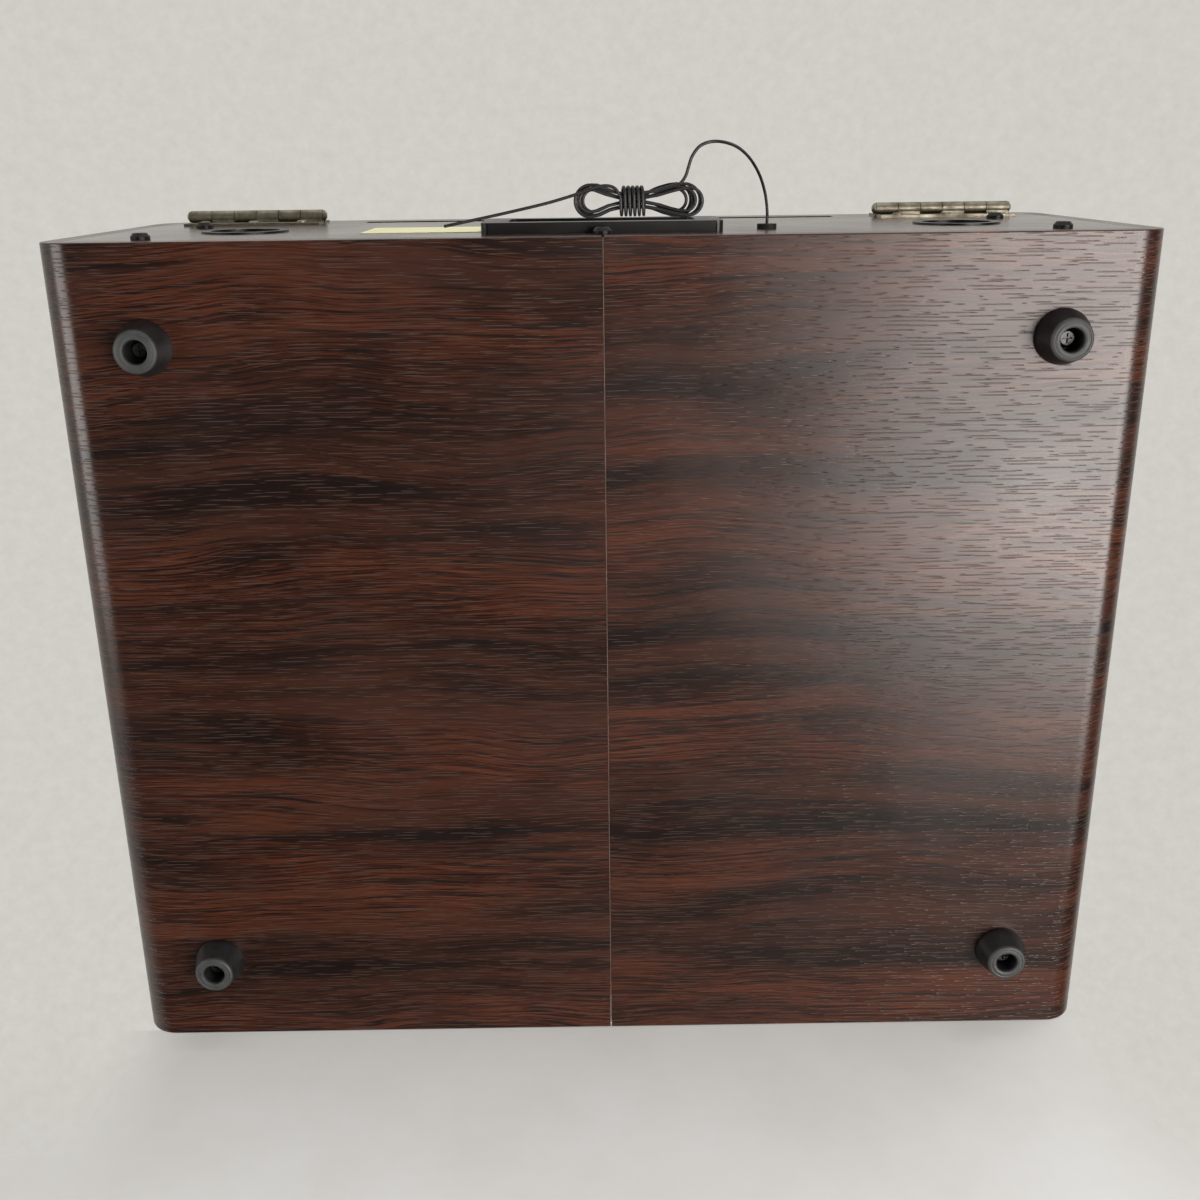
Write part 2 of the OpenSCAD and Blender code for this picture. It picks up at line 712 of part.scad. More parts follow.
// The hank's route: loops, a rise on to the binding, and the binding round the waist
function hank_route(rings, coils) =
    let (e = loop_point(loops_end), et = unit(e - loop_point(loops_end - 0.002)),
        w = wrap_point(0), wt = unit(wrap_point(0.01) - wrap_point(-0.01)),
        loops = round((loops_end - lead_in) * rings), wraps = round(wrap_end * coils))
    concat([for (i = [0:loops]) loop_point(lead_in + (loops_end - lead_in) * i / loops)],
        [for (i = [1:7]) bezier(e, e + 5 * et, w - 3.2 * wt, w, i / 8)],
        [for (i = [0:wraps]) wrap_point(wrap_end * i / wraps)]);

function lead_route() =
    let (j = loop_point(lead_in), t = unit(loop_point(lead_in + 0.002) - j))
    concat(curve(concat(lead_points, [j - 4 * t, j - wire_d * t]), 3), [j]);

function tail_route() =
    let (w = wrap_point(wrap_end), t = unit(w - wrap_point(wrap_end - 0.01)))
    concat([w], curve(concat([w + wire_d * t], tail_points), 3));

// Least distance between stretches of a route that lie more than a few diameters apart along it
function least_gap(p, skip) = min([for (i = [0:len(p) - 1 - skip])
    min([for (j = [i + skip:len(p) - 1]) norm(p[i] - p[j])])]);
function route_length(p) = [for (i = [1:len(p) - 1]) norm(p[i] - p[i - 1])] * [for (i = [1:len(p) - 1]) 1];

module antenna_lead() {
    route = lead_route();
    color("black") tube([for (p = route) laid(p)], wire_r, wire_sides);
    echo(lead_length = route_length(route));
}

module antenna_hank() {
    fine = hank_route(72, 48);
    echo(hank_length = route_length(fine), least_gap = least_gap(fine, 16) - wire_d);
    color("black") tube([for (p = hank_route(loop_rings, wrap_rings)) laid(p)], wire_r, loop_sides);
}

module antenna_tail() {
    route = tail_route();
    color("black") tube([for (p = route) laid(p)], wire_r, wire_sides);
    echo(tail_length = route_length(route));
}

// Hinges

module hinge_leaf(first, up) {
    leaf_z = up > 0 ? z_hinge + leaf_clear : z_hinge - leaf_w;
    color("tan") difference() {
        for (s = [-1, 1]) {
            x0 = s * hinge_x - hinge_l / 2;
            translate([x0, y_rear, leaf_z]) cube([hinge_l, leaf_t, leaf_w - leaf_clear]);
            for (i = [first:2:knuckles - 1]) {
                xk = x0 + i * knuckle_pitch + part_gap / 2;
                along_x(xk, y_hinge, z_hinge, barrel_r, knuckle_pitch - part_gap);
                translate([xk, y_rear, up > 0 ? z_hinge : z_hinge - leaf_clear])
                    cube([knuckle_pitch - part_gap, hinge_off - barrel_r / 2, leaf_clear]);
            }
        }
        for (s = [-1, 1]) along_x(s * hinge_x - hinge_l / 2 - over, y_hinge, z_hinge,
            hinge_pin_r + run_gap, hinge_l + 2 * over);
        for (x = leaf_screw_xs)
            along_y(x, y_rear - over, z_hinge + up * leaf_screw_drop, leaf_screw_r + run_gap,
                leaf_t + 2 * over);
    }
}

module leaf_screws(up) {
    color("tan") for (x = leaf_screw_xs) translate([x, y_rear + leaf_t, z_hinge + up * leaf_screw_drop])
        rotate([90, 0, 0]) pan_screw(leaf_head_r, leaf_head_h, leaf_screw_r, leaf_t + leaf_screw_l);
}

module hinge_base_leaves() { hinge_leaf(0, -1); }

module hinge_lid_leaves() { hinge_leaf(1, 1); }

module hinge_base_screws() { leaf_screws(-1); }

module hinge_lid_screws() { leaf_screws(1); }

module hinge_pins() {
    pin_head = 1.6;
    color("tan") for (s = [-1, 1]) {
        along_x(s * hinge_x - hinge_l / 2 - pin_head, y_hinge, z_hinge, hinge_pin_r, hinge_l + 2 * pin_head);
        for (e = [-1, 1]) translate([s * hinge_x + e * hinge_l / 2, y_hinge, z_hinge]) rotate([0, e * 90, 0])
            rotate_extrude() polygon([[0, 0], [barrel_r - 0.3, 0], [barrel_r - 0.3, 0.7], [1.2,
                pin_head], [0, pin_head]]);
    }
}

// Lid

module lid_shell() {
    color("saddlebrown") along_depth() difference() {
        translate([0, z_top]) mirror([0, 1]) {
            folded_half(z_top - z_lid);
            mirror([1, 0]) folded_half(z_top - z_lid);
            translate([-joint_slit, 0]) square([2 * joint_slit, wall]);
        }
    }
}

module lid_front_rail() {
    color("saddlebrown") translate([-in_x, y_front, z_lid]) cube([2 * in_x, wall, z_ceiling - z_lid]);
}

module lid_rear_rail() {
    color("saddlebrown") difference() {
        translate([-in_x, y_back, z_lid]) cube([2 * in_x, wall, z_ceiling - z_lid]);
        translate([-notch_w / 2, y_back - over, z_lid - over]) cube([notch_w, wall + 2 * over, notch_h + over]);
        for (x = leaf_screw_xs)
            along_y(x, y_rear - leaf_screw_l - over, z_hinge + leaf_screw_drop, leaf_screw_r + run_gap,
                leaf_screw_l + 2 * over);
    }
}

module lid_bumpers() {
    color("black") for (s = [-1, 1]) translate([s * (in_x - 20), y_front + wall / 2, z_seam + part_gap])
        cylinder(r = wall / 2 - 1, h = lid_gap - part_gap);
}

// Lid stay: the arm is as long as its pivot is far from the hinge axis, so it turns twice as fast as the lid

module stay_track() {
    z0 = z_hinge - track_low;
    y0 = y_hinge - track_far - stay_pin_r - 4;
    y1 = y_hinge - track_near + stay_pin_r + 4;
    color("tan") {
        difference() {
            translate([stay_x + track_off, y0, z0]) cube([stay_t, y1 - y0, track_low + track_high]);
            translate([stay_x + track_off - over, y_hinge - track_far, z_hinge - stay_pin_r - side_gap])
                cube([stay_t + 2 * over, track_far - track_near, 2 * (stay_pin_r + side_gap)]);
            for (d = [track_near, track_far])
                along_x(stay_x + track_off - over, y_hinge - d, z_hinge, stay_pin_r + side_gap,
                    stay_t + 2 * over);
        }
        for (y = [y0 + 8, y1 - 8]) along_x(stay_x, y, z_hinge + track_high - 3, 2.5, track_off);
    }
}

module stay_pivot() {
    arm_x0 = stay_x + arm_plane;
    color("tan") {
        along_x(stay_x, stay_y, stay_z, stay_pin_r + 2, arm_plane - part_gap);
        along_x(stay_x, stay_y, stay_z, stay_pin_r, arm_plane + stay_t + part_gap + 1);
        along_x(arm_x0 + stay_t + part_gap, stay_y, stay_z, stay_pin_r + 1.2, 1);
    }
}

module stay_arm() {
    end_r = stay_pin_r + 2.2;
    color("tan") translate([stay_x + arm_plane, stay_y, stay_z]) rotate([-stay_slope, 0, 0]) {
        difference() {
            union() {
                translate([0, -stay_l, -end_r]) cube([stay_t, stay_l, 2 * end_r]);
                for (y = [0, -stay_l]) along_x(0, y, 0, end_r, stay_t);
            }
            along_x(-over, 0, 0, stay_pin_r + run_gap, stay_t + 2 * over);
        }
        along_x(-stay_t - 0.6, -stay_l, 0, stay_pin_r, stay_t + 0.6);
    }
}

// Deck and drive

module spindle() {
    base_r = spindle_base_d / 2;
    tip_r = spindle_d / 2;
    color("silver") translate([sp_x, sp_y, z_deck]) rotate_extrude()
        polygon([[0, -deck_t - 6], [base_r, -deck_t - 6], [base_r, 0], [flange_r, 0], [flange_r,
            hub_rise - part_gap],
            [base_r, hub_rise - part_gap], [base_r, mat_top], [tip_r, mat_top], [tip_r, tip_top - 1],
                [1.5, tip_top], [0, tip_top]]);
}

module platter() {
    bore = spindle_base_d / 2 + run_gap;
    rim = 5;
    color("gray") translate([sp_x, sp_y, z_deck]) rotate_extrude($fn = 128)
        polygon([[bore, hub_rise], [hub_r, hub_rise], [hub_r, disc_rise], [drum_r - 4, disc_rise],
            [drum_r - 4, belt_low - 0.4],
            [drum_r, belt_low - 0.4], [drum_r, disc_rise], [platter_r - rim, disc_rise], [platter_r - rim, 3],
            [platter_r, 3], [platter_r, disc_top - 1], [platter_r - 1, disc_top], [bore, disc_top]]);
}

module platter_mat() {
    color("black") translate([sp_x, sp_y, z_deck + disc_top]) difference() {
        cylinder(r = platter_r - 4, h = mat_top - disc_top, $fn = 128);
        translate([0, 0, -over]) cylinder(r = spindle_base_d / 2 + 1, h = mat_top);
    }
}

module drive_belt() {
    inner = part_gap;
    outer = part_gap + belt_t;
    color("black") translate([0, 0, z_deck + belt_low]) linear_extrude(belt_high - belt_low) difference() {
        hull() belt_circles(outer);
        hull() belt_circles(inner);
    }
}

module belt_circles(grow) {
    translate([sp_x, sp_y]) circle(drum_r + grow, $fn = 96);
    translate([pulley_x, pulley_y]) circle(pulley_r + grow, $fn = 32);
}

module drive_motor() {
    color("silver") translate([pulley_x, pulley_y, z_under - motor_h]) difference() {
        cylinder(r = motor_r, h = motor_h);
        translate([0, 0, motor_floor]) cylinder(r = motor_shaft_r + run_gap, h = motor_h);
    }
}

module motor_pulley() {
    color("goldenrod") translate([pulley_x, pulley_y, z_deck]) {
        translate([0, 0, belt_low - 0.4]) cylinder(r = pulley_r, h = belt_high - belt_low + 0.6);
        translate([0, 0, -deck_t - motor_h + motor_floor + 1])
            cylinder(r = motor_shaft_r, h = deck_t + motor_h - motor_floor - 1 + belt_low);
    }
}

module speed_selector() {
    color("silver") translate([selector_x, selector_y, z_deck]) {
        translate([0, 0, -deck_t + 1]) cylinder(r = cue_post_r, h = deck_t);
        translate([0, 0, part_gap]) cylinder(r = selector_r, h = 3);
        translate([-2, -selector_r - 6, part_gap]) cube([4, selector_r + 6, 5]);
    }
}

// Tonearm

module at_arm() { translate([arm_x, arm_y, z_deck]) children(); }

module arm_base() {
    color("dimgray") at_arm() difference() {
        union() {
            cylinder(r = arm_base_r, h = 8);
            cylinder(r = 9, h = yoke_low - part_gap);
            translate([lug_x, -6, 0]) cube([lug_t, 12, lug_rise + 5]);
        }
        translate([0, 0, 1]) cylinder(r = yoke_pin_r + run_gap, h = yoke_low);
        rotate(-cue_mid) translate([0, -cue_r, 1]) cylinder(r = cue_post_r + run_gap, h = 8);
        along_x(lug_x - over, 0, lug_rise, cross_pin_r + run_gap, lug_t + 2 * over);
    }
}

module arm_yoke() {
    ear_h = arm_rise + yoke_top - yoke_low;
    color("silver") at_arm() {
        translate([0, 0, 1 + part_gap]) cylinder(r = yoke_pin_r, h = yoke_low - 1 - part_gap);
        difference() {
            union() {
                translate([0, 0, yoke_low]) cylinder(r = yoke_r, h = yoke_disc);
                for (s = [-1, 1]) translate([s * (yoke_in + yoke_ear / 2) - yoke_ear / 2, -yoke_d / 2,
                    yoke_low])
                    cube([yoke_ear, yoke_d, ear_h]);
            }
            along_x(-yoke_r - over, 0, arm_rise, cross_pin_r + run_gap, 2 * (yoke_r + over));
        }
    }
}

module tonearm() {
    pin_reach = yoke_in + yoke_ear - 0.2;
    color("silver") at_arm() {
        along_y(0, -tube_front, arm_rise, arm_r, tube_front + weight_y + weight_l);
        along_x(-pin_reach, 0, arm_rise, cross_pin_r, 2 * pin_reach);
        along_x(-yoke_in + part_gap, 0, arm_rise, cross_pin_r + 1.5, 2 * (yoke_in - part_gap));
    }
}

module counterweight() {
    color("dimgray") at_arm() difference() {
        along_y(0, weight_y, arm_rise, weight_r, weight_l);
        along_y(0, weight_y - over, arm_rise, arm_r + run_gap, weight_l + 2 * over);
    }
}

module cartridge() {
    head_top = arm_rise + 1;
    body_low = mat_top + 4.5;
    tip = mat_top + 2.3;
    color("firebrick") at_arm() {
        along_y(0, -tube_front - 6, arm_rise, arm_r + 1, 6);
        translate([-head_w / 2, -arm_l - head_front, head_top - head_t]) cube([head_w, head_l, head_t]);
        translate([head_w / 2, -arm_l - head_front + 4, head_top - head_t]) cube([8, 4, 1.5]);
        translate([-6, -arm_l - 6, body_low]) cube([12, 22, head_top - head_t - body_low]);
        translate([0, -arm_l, tip]) cylinder(r1 = 0.3, r2 = 2, h = body_low - tip);
    }
}

module arm_rest() {
    color("dimgray") at_arm() {
        translate([-4, -rest_back - 4, 0]) cube([11.6, 8, arm_rise - arm_r - 0.4]);
        translate([arm_r + 0.6, -rest_back - 4, 0]) cube([3, 8, arm_rise + 2]);
    }
}

module cue_platform() {
    top = arm_rise - arm_r - 0.35;
    color("black") at_arm() rotate(-cue_mid) {
        translate([0, 0, top - 3]) rotate(-90 - cue_span) rotate_extrude(angle = 2 * cue_span)
            translate([cue_r - cue_bar / 2, 0]) square([cue_bar, 3]);
        translate([0, -cue_r, 1 + part_gap]) cylinder(r = cue_post_r, h = top - 3 - part_gap);
    }
}

module cue_lever() {
    lever = 22;
    color("black") at_arm() {
        along_x(lug_x + part_gap, 0, lug_rise, cross_pin_r, lug_t + 1);
        along_x(lug_x + lug_t + part_gap, 0, lug_rise, 3.5, 4);
        translate([lug_x + lug_t + part_gap, -lever, lug_rise - 2]) cube([4, lever, 4]);
    }
}

// Fascia and radio

module speaker_baskets() {
    d = basket_depth;
    color("dimgray") for (s = [-1, 1]) translate([s * speaker_x, y_bay, spk_z]) rotate([-90, 0,
        0]) rotate_extrude()
        polygon([[spk_open_r, 0], [speaker_r, 0], [speaker_r, speaker_flange_t], [spk_open_r + 2,
            speaker_flange_t],
            [magnet_r, d], [magnet_r, d + magnet_h], [0, d + magnet_h], [0, d], [magnet_r - 2, d],
                [spk_open_r, speaker_flange_t]]);
}

module speaker_cones() {
    rim_r = spk_open_r - side_gap;
    color("black") for (s = [-1, 1]) translate([s * speaker_x, y_bay, spk_z]) rotate([-90, 0,
        0]) rotate_extrude()
        polygon([[rim_r, 0], [rim_r, 1.2], [rim_r - 4, 1.2], [9, cone_depth + 1], [0, cone_depth + 1],
            [0, cone_depth],
            [8, cone_depth], [rim_r - 5, 0]]);
}

module speaker_grilles() {
    color("black") for (s = [-1, 1]) upright(s * speaker_x, y_baffle - 3, spk_z,
        3) round_rect(grille_s, grille_s, 8);
}

module dial_bezel() {
    color("goldenrod") upright(0, y_baffle - bezel_t, z_dial, bezel_t) difference() {
        round_rect(dial_w + 2 * bezel_rim, dial_h + 2 * bezel_rim, 6);
        round_rect(dial_w - 2 * bezel_lip, dial_h - 2 * bezel_lip, 2);
    }
}

module dial_glass() {
    color("lightcyan", 0.4) translate([-dial_w / 2, y_baffle, z_dial - dial_h / 2]) cube([dial_w,
        glass_t, dial_h]);
}

module dial_scale() {
    w = 2 * (ear_x + ear_t);
    h = dial_h + 2 * scale_rim;
    color("ivory") difference() {
        union() {
            translate([-w / 2, y_bay, z_dial - h / 2]) cube([w, scale_t, h]);
            for (s = [-1, 1]) {
                translate([s * (ear_x + ear_t / 2) - ear_t / 2, y_bay, z_rail - 6]) cube([ear_t,
                    rail_back + 5, 14]);
                along_y(s * idler_x, y_bay, idler_z, idler_r, cord_back + 1);
            }
            along_y(-idler_x, y_bay, idler_low, idler_r, cord_back + 1);
            along_x(-ear_x, y_bay + rail_back, z_rail - 1, rail_r, 2 * ear_x);
        }
        translate([-pointer_travel - 2, y_bay - over, z_rail - slot_h / 2])
            cube([2 * pointer_travel + 4, scale_t + 2 * over, slot_h]);
    }
}

module dial_pointer() {
    needle_y = y_bay - 3;
    color("red") {
        translate([-0.6, needle_y, z_rail - 2]) cube([1.2, 1, dial_h / 2 + slot_drop]);
        translate([-1, needle_y, z_rail - 1]) cube([2, 3 + rail_back - 3, 2]);
        difference() {
            translate([-carriage_w / 2, y_bay + rail_back - 4,
                z_rail - carriage_h / 2]) cube([carriage_w, 8, carriage_h]);
            along_x(-carriage_w, y_bay + rail_back, z_rail - 1, rail_r + run_gap, 2 * carriage_w);
        }
    }
}

// Cord round the drum and its idlers, as one closed loop
module cord_circles(grow) {
    for (p = [[-idler_x, idler_z], [idler_x, idler_z], [-idler_x, idler_low]])
        translate(p) circle(idler_r + cord_gap + grow, $fn = 16);
    translate([knob_pitch, z_knob]) circle(tune_r + part_gap + grow);
}

module dial_cord() {
    color("wheat") upright(0, y_bay + cord_back - cord_r, 0, 2 * cord_r) difference() {
        hull() cord_circles(2 * cord_r);
        hull() cord_circles(0);
    }
}

module knob(i, back) {
    color("goldenrod") {
        translate([i * knob_pitch, y_baffle - 1.5, z_knob]) rotate([90, 0, 0]) difference() {
            rotate_extrude() polygon([[0, 0], [knob_r, 0], [knob_r, 3], [knob_r - 1.5, 4.5],
                [knob_r - 2, knob_l - 1],
                [knob_r - 3, knob_l], [0, knob_l]]);
            translate([-0.6, 2, knob_l - 0.8]) cube([1.2, knob_r, 2]);
        }
        along_y(i * knob_pitch, y_baffle - 2, z_knob, shaft_r, back + baffle_t + 2);
    }
}

module volume_knob() { knob(-1, pot_d - 3); }

module function_knob() { knob(0, pot_d - 3); }

module tuning_knob() {
    knob(1, condenser_back + shaft_end);
    color("ivory") along_y(knob_pitch, y_bay + tune_back, z_knob, tune_r, tune_t);
}

// Bush through the baffle with a flange behind it
module bush(i, flange_t) {
    difference() {
        union() {
            along_y(i * knob_pitch, y_baffle, z_knob, bush_r, baffle_t + flange_t);
            translate([i * knob_pitch - pot_s / 2, y_bay, z_knob - pot_s / 2]) cube([pot_s, flange_t, pot_s]);
        }
        along_y(i * knob_pitch, y_baffle - over, z_knob, shaft_r + run_gap, baffle_t + flange_t - 1);
        if (flange_t < pot_d) along_y(i * knob_pitch, y_baffle - over, z_knob, shaft_r + run_gap,
            baffle_t + flange_t + 2 * over);
    }
}

module control_pots() {
    color("silver") {
        bush(-1, pot_d);
        bush(0, pot_d);
        bush(1, 3);
    }
}

module tuning_condenser() {
    post_x = tune_r + cord_r * 2 + part_gap * 2 + can_post / 2 + 1;
    low = -can_s / 2;
    color("silver") translate([knob_pitch, y_bay, z_knob]) difference() {
        union() {
            for (s = [-1, 1]) translate([s * post_x - can_post / 2, 0, -can_post / 2])
                cube([can_post, condenser_back, can_post]);
            translate([-post_x - can_post / 2, condenser_back, low]) cube([2 * post_x + can_post,
                can_plate_t, can_s]);
            translate([low, condenser_back, low]) cube([can_s, can_d, can_s]);
        }
        along_y(0, condenser_back - over, 0, shaft_r + run_gap, shaft_end + 2 + over);
    }
}

module main_board() {
    color("darkgreen") translate([0, board_y, 0]) {
        translate([-board.x / 2, 0, board_z]) cube(board);
        translate([transformer_at.x, transformer_at.y, board_z]) cube(transformer);
        translate([tuner_at.x, tuner_at.y, board_z]) cube(tuner_can);
        translate([chip_at.x, chip_at.y, board_z]) cube(chip);
        for (i = [0:3]) translate([capacitor_at.x + capacitor_pitch * i, capacitor_at.y, board_z])
            cylinder(r = capacitor_r, h = capacitor_h);
        for (s = [-1, 1], y = [standoff_in, board.y - standoff_in])
            translate([s * (board.x / 2 - standoff_in), y, z_in]) cylinder(r = standoff_r, h = board_z - z_in);
    }
}

cabinet_left();
cabinet_right();
cabinet_battens();
front_baffle();
front_rail();
rear_panel();
deck_plate();
feet();
foot_screws();
rear_panel_screws();
jack_plate();
phono_jacks();
power_jack();
port_tubes();
blank_label();
antenna_grommet();
antenna_lead();
antenna_hank();
antenna_tail();
hinge_base_leaves();
hinge_pins();
hinge_base_screws();
spindle();
drive_motor();
drive_belt();
arm_base();
arm_rest();
stay_pivot();
main_board();
control_pots();
tuning_condenser();
dial_scale();
dial_cord();
dial_glass();
dial_bezel();
speaker_baskets();
speaker_cones();
speaker_grilles();
lid_shell();
lid_front_rail();
lid_rear_rail();
lid_bumpers();
hinge_lid_leaves();
hinge_lid_screws();
stay_track();
stay_arm();
platter();
platter_mat();
motor_pulley();
arm_yoke();
tonearm();
counterweight();
cartridge();
cue_lever();
cue_platform();
speed_selector();
volume_knob();
function_knob();
tuning_knob();
dial_pointer();
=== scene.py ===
import bpy
import json
import math
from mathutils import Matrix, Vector


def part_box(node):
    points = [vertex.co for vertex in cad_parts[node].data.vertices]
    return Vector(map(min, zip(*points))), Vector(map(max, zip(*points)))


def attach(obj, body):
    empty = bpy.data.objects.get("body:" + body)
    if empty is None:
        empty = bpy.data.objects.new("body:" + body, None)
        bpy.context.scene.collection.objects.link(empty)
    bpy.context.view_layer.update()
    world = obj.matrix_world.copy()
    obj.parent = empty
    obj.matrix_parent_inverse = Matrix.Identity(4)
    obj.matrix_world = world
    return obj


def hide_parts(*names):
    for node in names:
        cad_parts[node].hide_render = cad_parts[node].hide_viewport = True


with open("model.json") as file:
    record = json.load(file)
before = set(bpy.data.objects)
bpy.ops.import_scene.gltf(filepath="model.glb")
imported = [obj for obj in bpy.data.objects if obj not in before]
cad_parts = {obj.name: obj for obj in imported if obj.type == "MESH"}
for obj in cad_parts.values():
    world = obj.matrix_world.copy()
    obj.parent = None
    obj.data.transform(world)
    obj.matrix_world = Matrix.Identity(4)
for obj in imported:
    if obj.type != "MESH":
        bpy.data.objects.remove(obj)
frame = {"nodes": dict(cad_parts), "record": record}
cadNodes = frame["nodes"]
slotOf = {part["node"]: part["material_slot"] for part in frame["record"]["subparts"]}
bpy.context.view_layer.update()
scene = bpy.context.scene
scene.view_settings.view_transform = "Standard"
print("frame loaded:", len(cadNodes), "nodes")

# the cabinet's main levels, in metres
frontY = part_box("cabinet_left")[0].y
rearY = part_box("cabinet_left")[1].y
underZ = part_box("cabinet_left")[0].z
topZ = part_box("lid_shell")[1].z
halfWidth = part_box("cabinet_right")[1].x


# Camera

cameraSet = {
    "place": (0.00508, 0.20448, -0.49836),
    "turn": (161.123, 0.4854, -179.3241),
    "lens": 38.62,
    "sensor": 36.0,
    "nearest": 0.01,
}


def addCamera(setUp):
    data = bpy.data.cameras.new("photoCamera")
    data.lens = setUp["lens"]
    data.sensor_width = setUp["sensor"]
    data.clip_start = setUp["nearest"]
    holder = bpy.data.objects.new("photoCamera", data)
    scene.collection.objects.link(holder)
    holder.location = setUp["place"]
    holder.rotation_euler = [math.radians(a) for a in setUp["turn"]]
    scene.camera = holder


addCamera(cameraSet)
print("camera placed")


# Small helpers for modelling

mergeGap = 0.000002      # points closer than this are one


def clearSelection():
    if bpy.context.object and bpy.context.object.mode != "OBJECT":
        bpy.ops.object.mode_set(mode="OBJECT")
    bpy.ops.object.select_all(action="DESELECT")


def makeActive(piece):
    clearSelection()
    piece.select_set(True)
    bpy.context.view_layer.objects.active = piece


def setPick(kind):
    bpy.context.tool_settings.mesh_select_mode = (kind == "VERT", kind == "EDGE", kind == "FACE")


def startEdit(piece, kind):
    makeActive(piece)
    setPick(kind)
    bpy.ops.object.mode_set(mode="EDIT")


def editAll(piece, kind="FACE"):
    startEdit(piece, kind)
    bpy.ops.mesh.select_all(action="SELECT")


def endEdit():
    bpy.ops.object.mode_set(mode="OBJECT")


def dropFlags(mesh):
    for group in (mesh.vertices, mesh.edges, mesh.polygons):
        for item in group:
            item.select = False


def pickFaces(piece, test):
    makeActive(piece)
    dropFlags(piece.data)
    for f in piece.data.polygons:
        f.select = test(f)
    startEdit(piece, "FACE")


def pickEdges(piece, test):
    makeActive(piece)
    mesh = piece.data
    dropFlags(mesh)
    for e in mesh.edges:
        e.select = test(e, mesh.vertices[e.vertices[0]].co, mesh.vertices[e.vertices[1]].co)
    startEdit(piece, "EDGE")


def pickPoints(piece, test):
    makeActive(piece)
    dropFlags(piece.data)
    for v in piece.data.vertices:
        v.select = test(v.co)
    startEdit(piece, "VERT")


# edges where two faces meet at more than the given angle
def sharpEdges(mesh, least):
    meeting = {}
    for f in mesh.polygons:
        for key in f.edge_keys:
            meeting.setdefault(key, []).append(f.normal.copy())
    limit = math.radians(least)
    return {key for key, n in meeting.items() if len(n) == 2 and n[0].angle(n[1], 0.0) > limit}


def settle(piece, angle=30):
    makeActive(piece)
    bpy.ops.object.transform_apply()
    editAll(piece)
    bpy.ops.mesh.remove_doubles(threshold=mergeGap)
    bpy.ops.mesh.normals_make_consistent(inside=False)
    endEdit()
    bpy.ops.object.shade_smooth_by_angle(angle=math.radians(angle))
    return piece


def addModifier(piece, kind, **settings):
    makeActive(piece)
    added = piece.modifiers.new(kind.lower(), kind)
    for key, value in settings.items():
        setattr(added, key, value)
    bpy.ops.object.modifier_apply(modifier=added.name)


def joinAll(pieces, name):
    clearSelection()
    for p in pieces:
        p.select_set(True)
    bpy.context.view_layer.objects.active = pieces[0]
    if len(pieces) > 1:
        bpy.ops.object.join()
    whole = bpy.context.view_layer.objects.active
    whole.name = name
    return whole


def startFrom(primitive, **settings):
    clearSelection()
    primitive(**settings)
    return bpy.context.active_object


# A turned shape: a ring that is drawn up level by level about the Z axis; radius and height in millimetres
def turned(name, profile, sides):
    profile = [(r / 1000, z / 1000) for r, z in profile]
    radius, level = profile[0]
    piece = startFrom(
        bpy.ops.mesh.primitive_circle_add, vertices=sides, radius=radius, location=(0, 0, level))
    piece.name = name
    bpy.ops.object.transform_apply()
    editAll(piece, "EDGE")
    for (r0, z0), (r1, z1) in zip(profile, profile[1:]):
        bpy.ops.mesh.extrude_region_move(TRANSFORM_OT_translate={"value": (0, 0, z1 - z0)})
        grow = r1 / r0
        bpy.ops.transform.resize(value=(grow, grow, 1), center_override=(0, 0, z1))
    endEdit()
    return piece


def putAt(piece, place, turn=(0, 0, 0)):
    piece.location = place
    piece.rotation_euler = [math.radians(a) for a in turn]
    makeActive(piece)
    bpy.ops.object.transform_apply()
    return piece


def copyOf(piece, name):
    twin = piece.copy()
    twin.data = piece.data.copy()
    twin.name = name
    scene.collection.objects.link(twin)
    return twin


# a block at its size and place, as a start for small bars
def addBlock(name, size, place=(0, 0, 0)):
    block = startFrom(bpy.ops.mesh.primitive_cube_add, size=1.0)
    block.name = name
    block.scale = size
    block.location = place
    bpy.ops.object.transform_apply()
    return block


# Node helpers for materials; each works in the node tree that is on the bench

bench = {"tree": None}


def tone(r, g, b):
    def level(v):
        v /= 255
        return v / 12.92 if v <= 0.04045 else ((v + 0.055) / 1.055) ** 2.4
    return (level(r), level(g), level(b), 1.0)


def node(kind, **settings):
    made = bench["tree"].nodes.new(kind)
    for key, value in settings.items():
        setattr(made, key, value)
    return made


def link(source, socket):
    bench["tree"].links.new(source, socket)


def feed(value, socket):
    if isinstance(value, bpy.types.NodeSocket):
        link(value, socket)
    else:
        socket.default_value = value


def fedInOrder(made, *values):
    for socket, value in zip(made.inputs, values):
        feed(value, socket)
    return made.outputs[0]


def fedByLabel(made, values):
    for label, value in values.items():
        feed(value, made.inputs[label])
    return made.outputs


def sums(kind, a, b=0.0, c=0.0):
    return fedInOrder(node("ShaderNodeMath", operation=kind), a, b, c)


def times(a, b):
    return sums("MULTIPLY", a, b)


def timesPlus(a, b, c):
    return sums("MULTIPLY_ADD", a, b, c)


def minus(a, b):
    return sums("SUBTRACT", a, b)


def sizeOf(a):
    return sums("ABSOLUTE", a)


def stretch(value, low, high, toLow=0.0, toHigh=1.0, way="LINEAR"):
    made = node("ShaderNodeMapRange", interpolation_type=way)
    return fedInOrder(made, value, low, high, toLow, toHigh)


def blendColour(share, a, b):
    made = node("ShaderNodeMix", data_type="RGBA")
    for i, v in zip((0, 6, 7), (share, a, b)):      # the colour sockets
        feed(v, made.inputs[i])
    return made.outputs[2]


def pickOne(share, a, b):
    made = node("ShaderNodeMix", data_type="FLOAT")
    for i, v in zip((0, 2, 3), (share, a, b)):      # the value sockets
        feed(v, made.inputs[i])
    return made.outputs[0]


def packed(x, y, z):
    return fedInOrder(node("ShaderNodeCombineXYZ"), x, y, z)


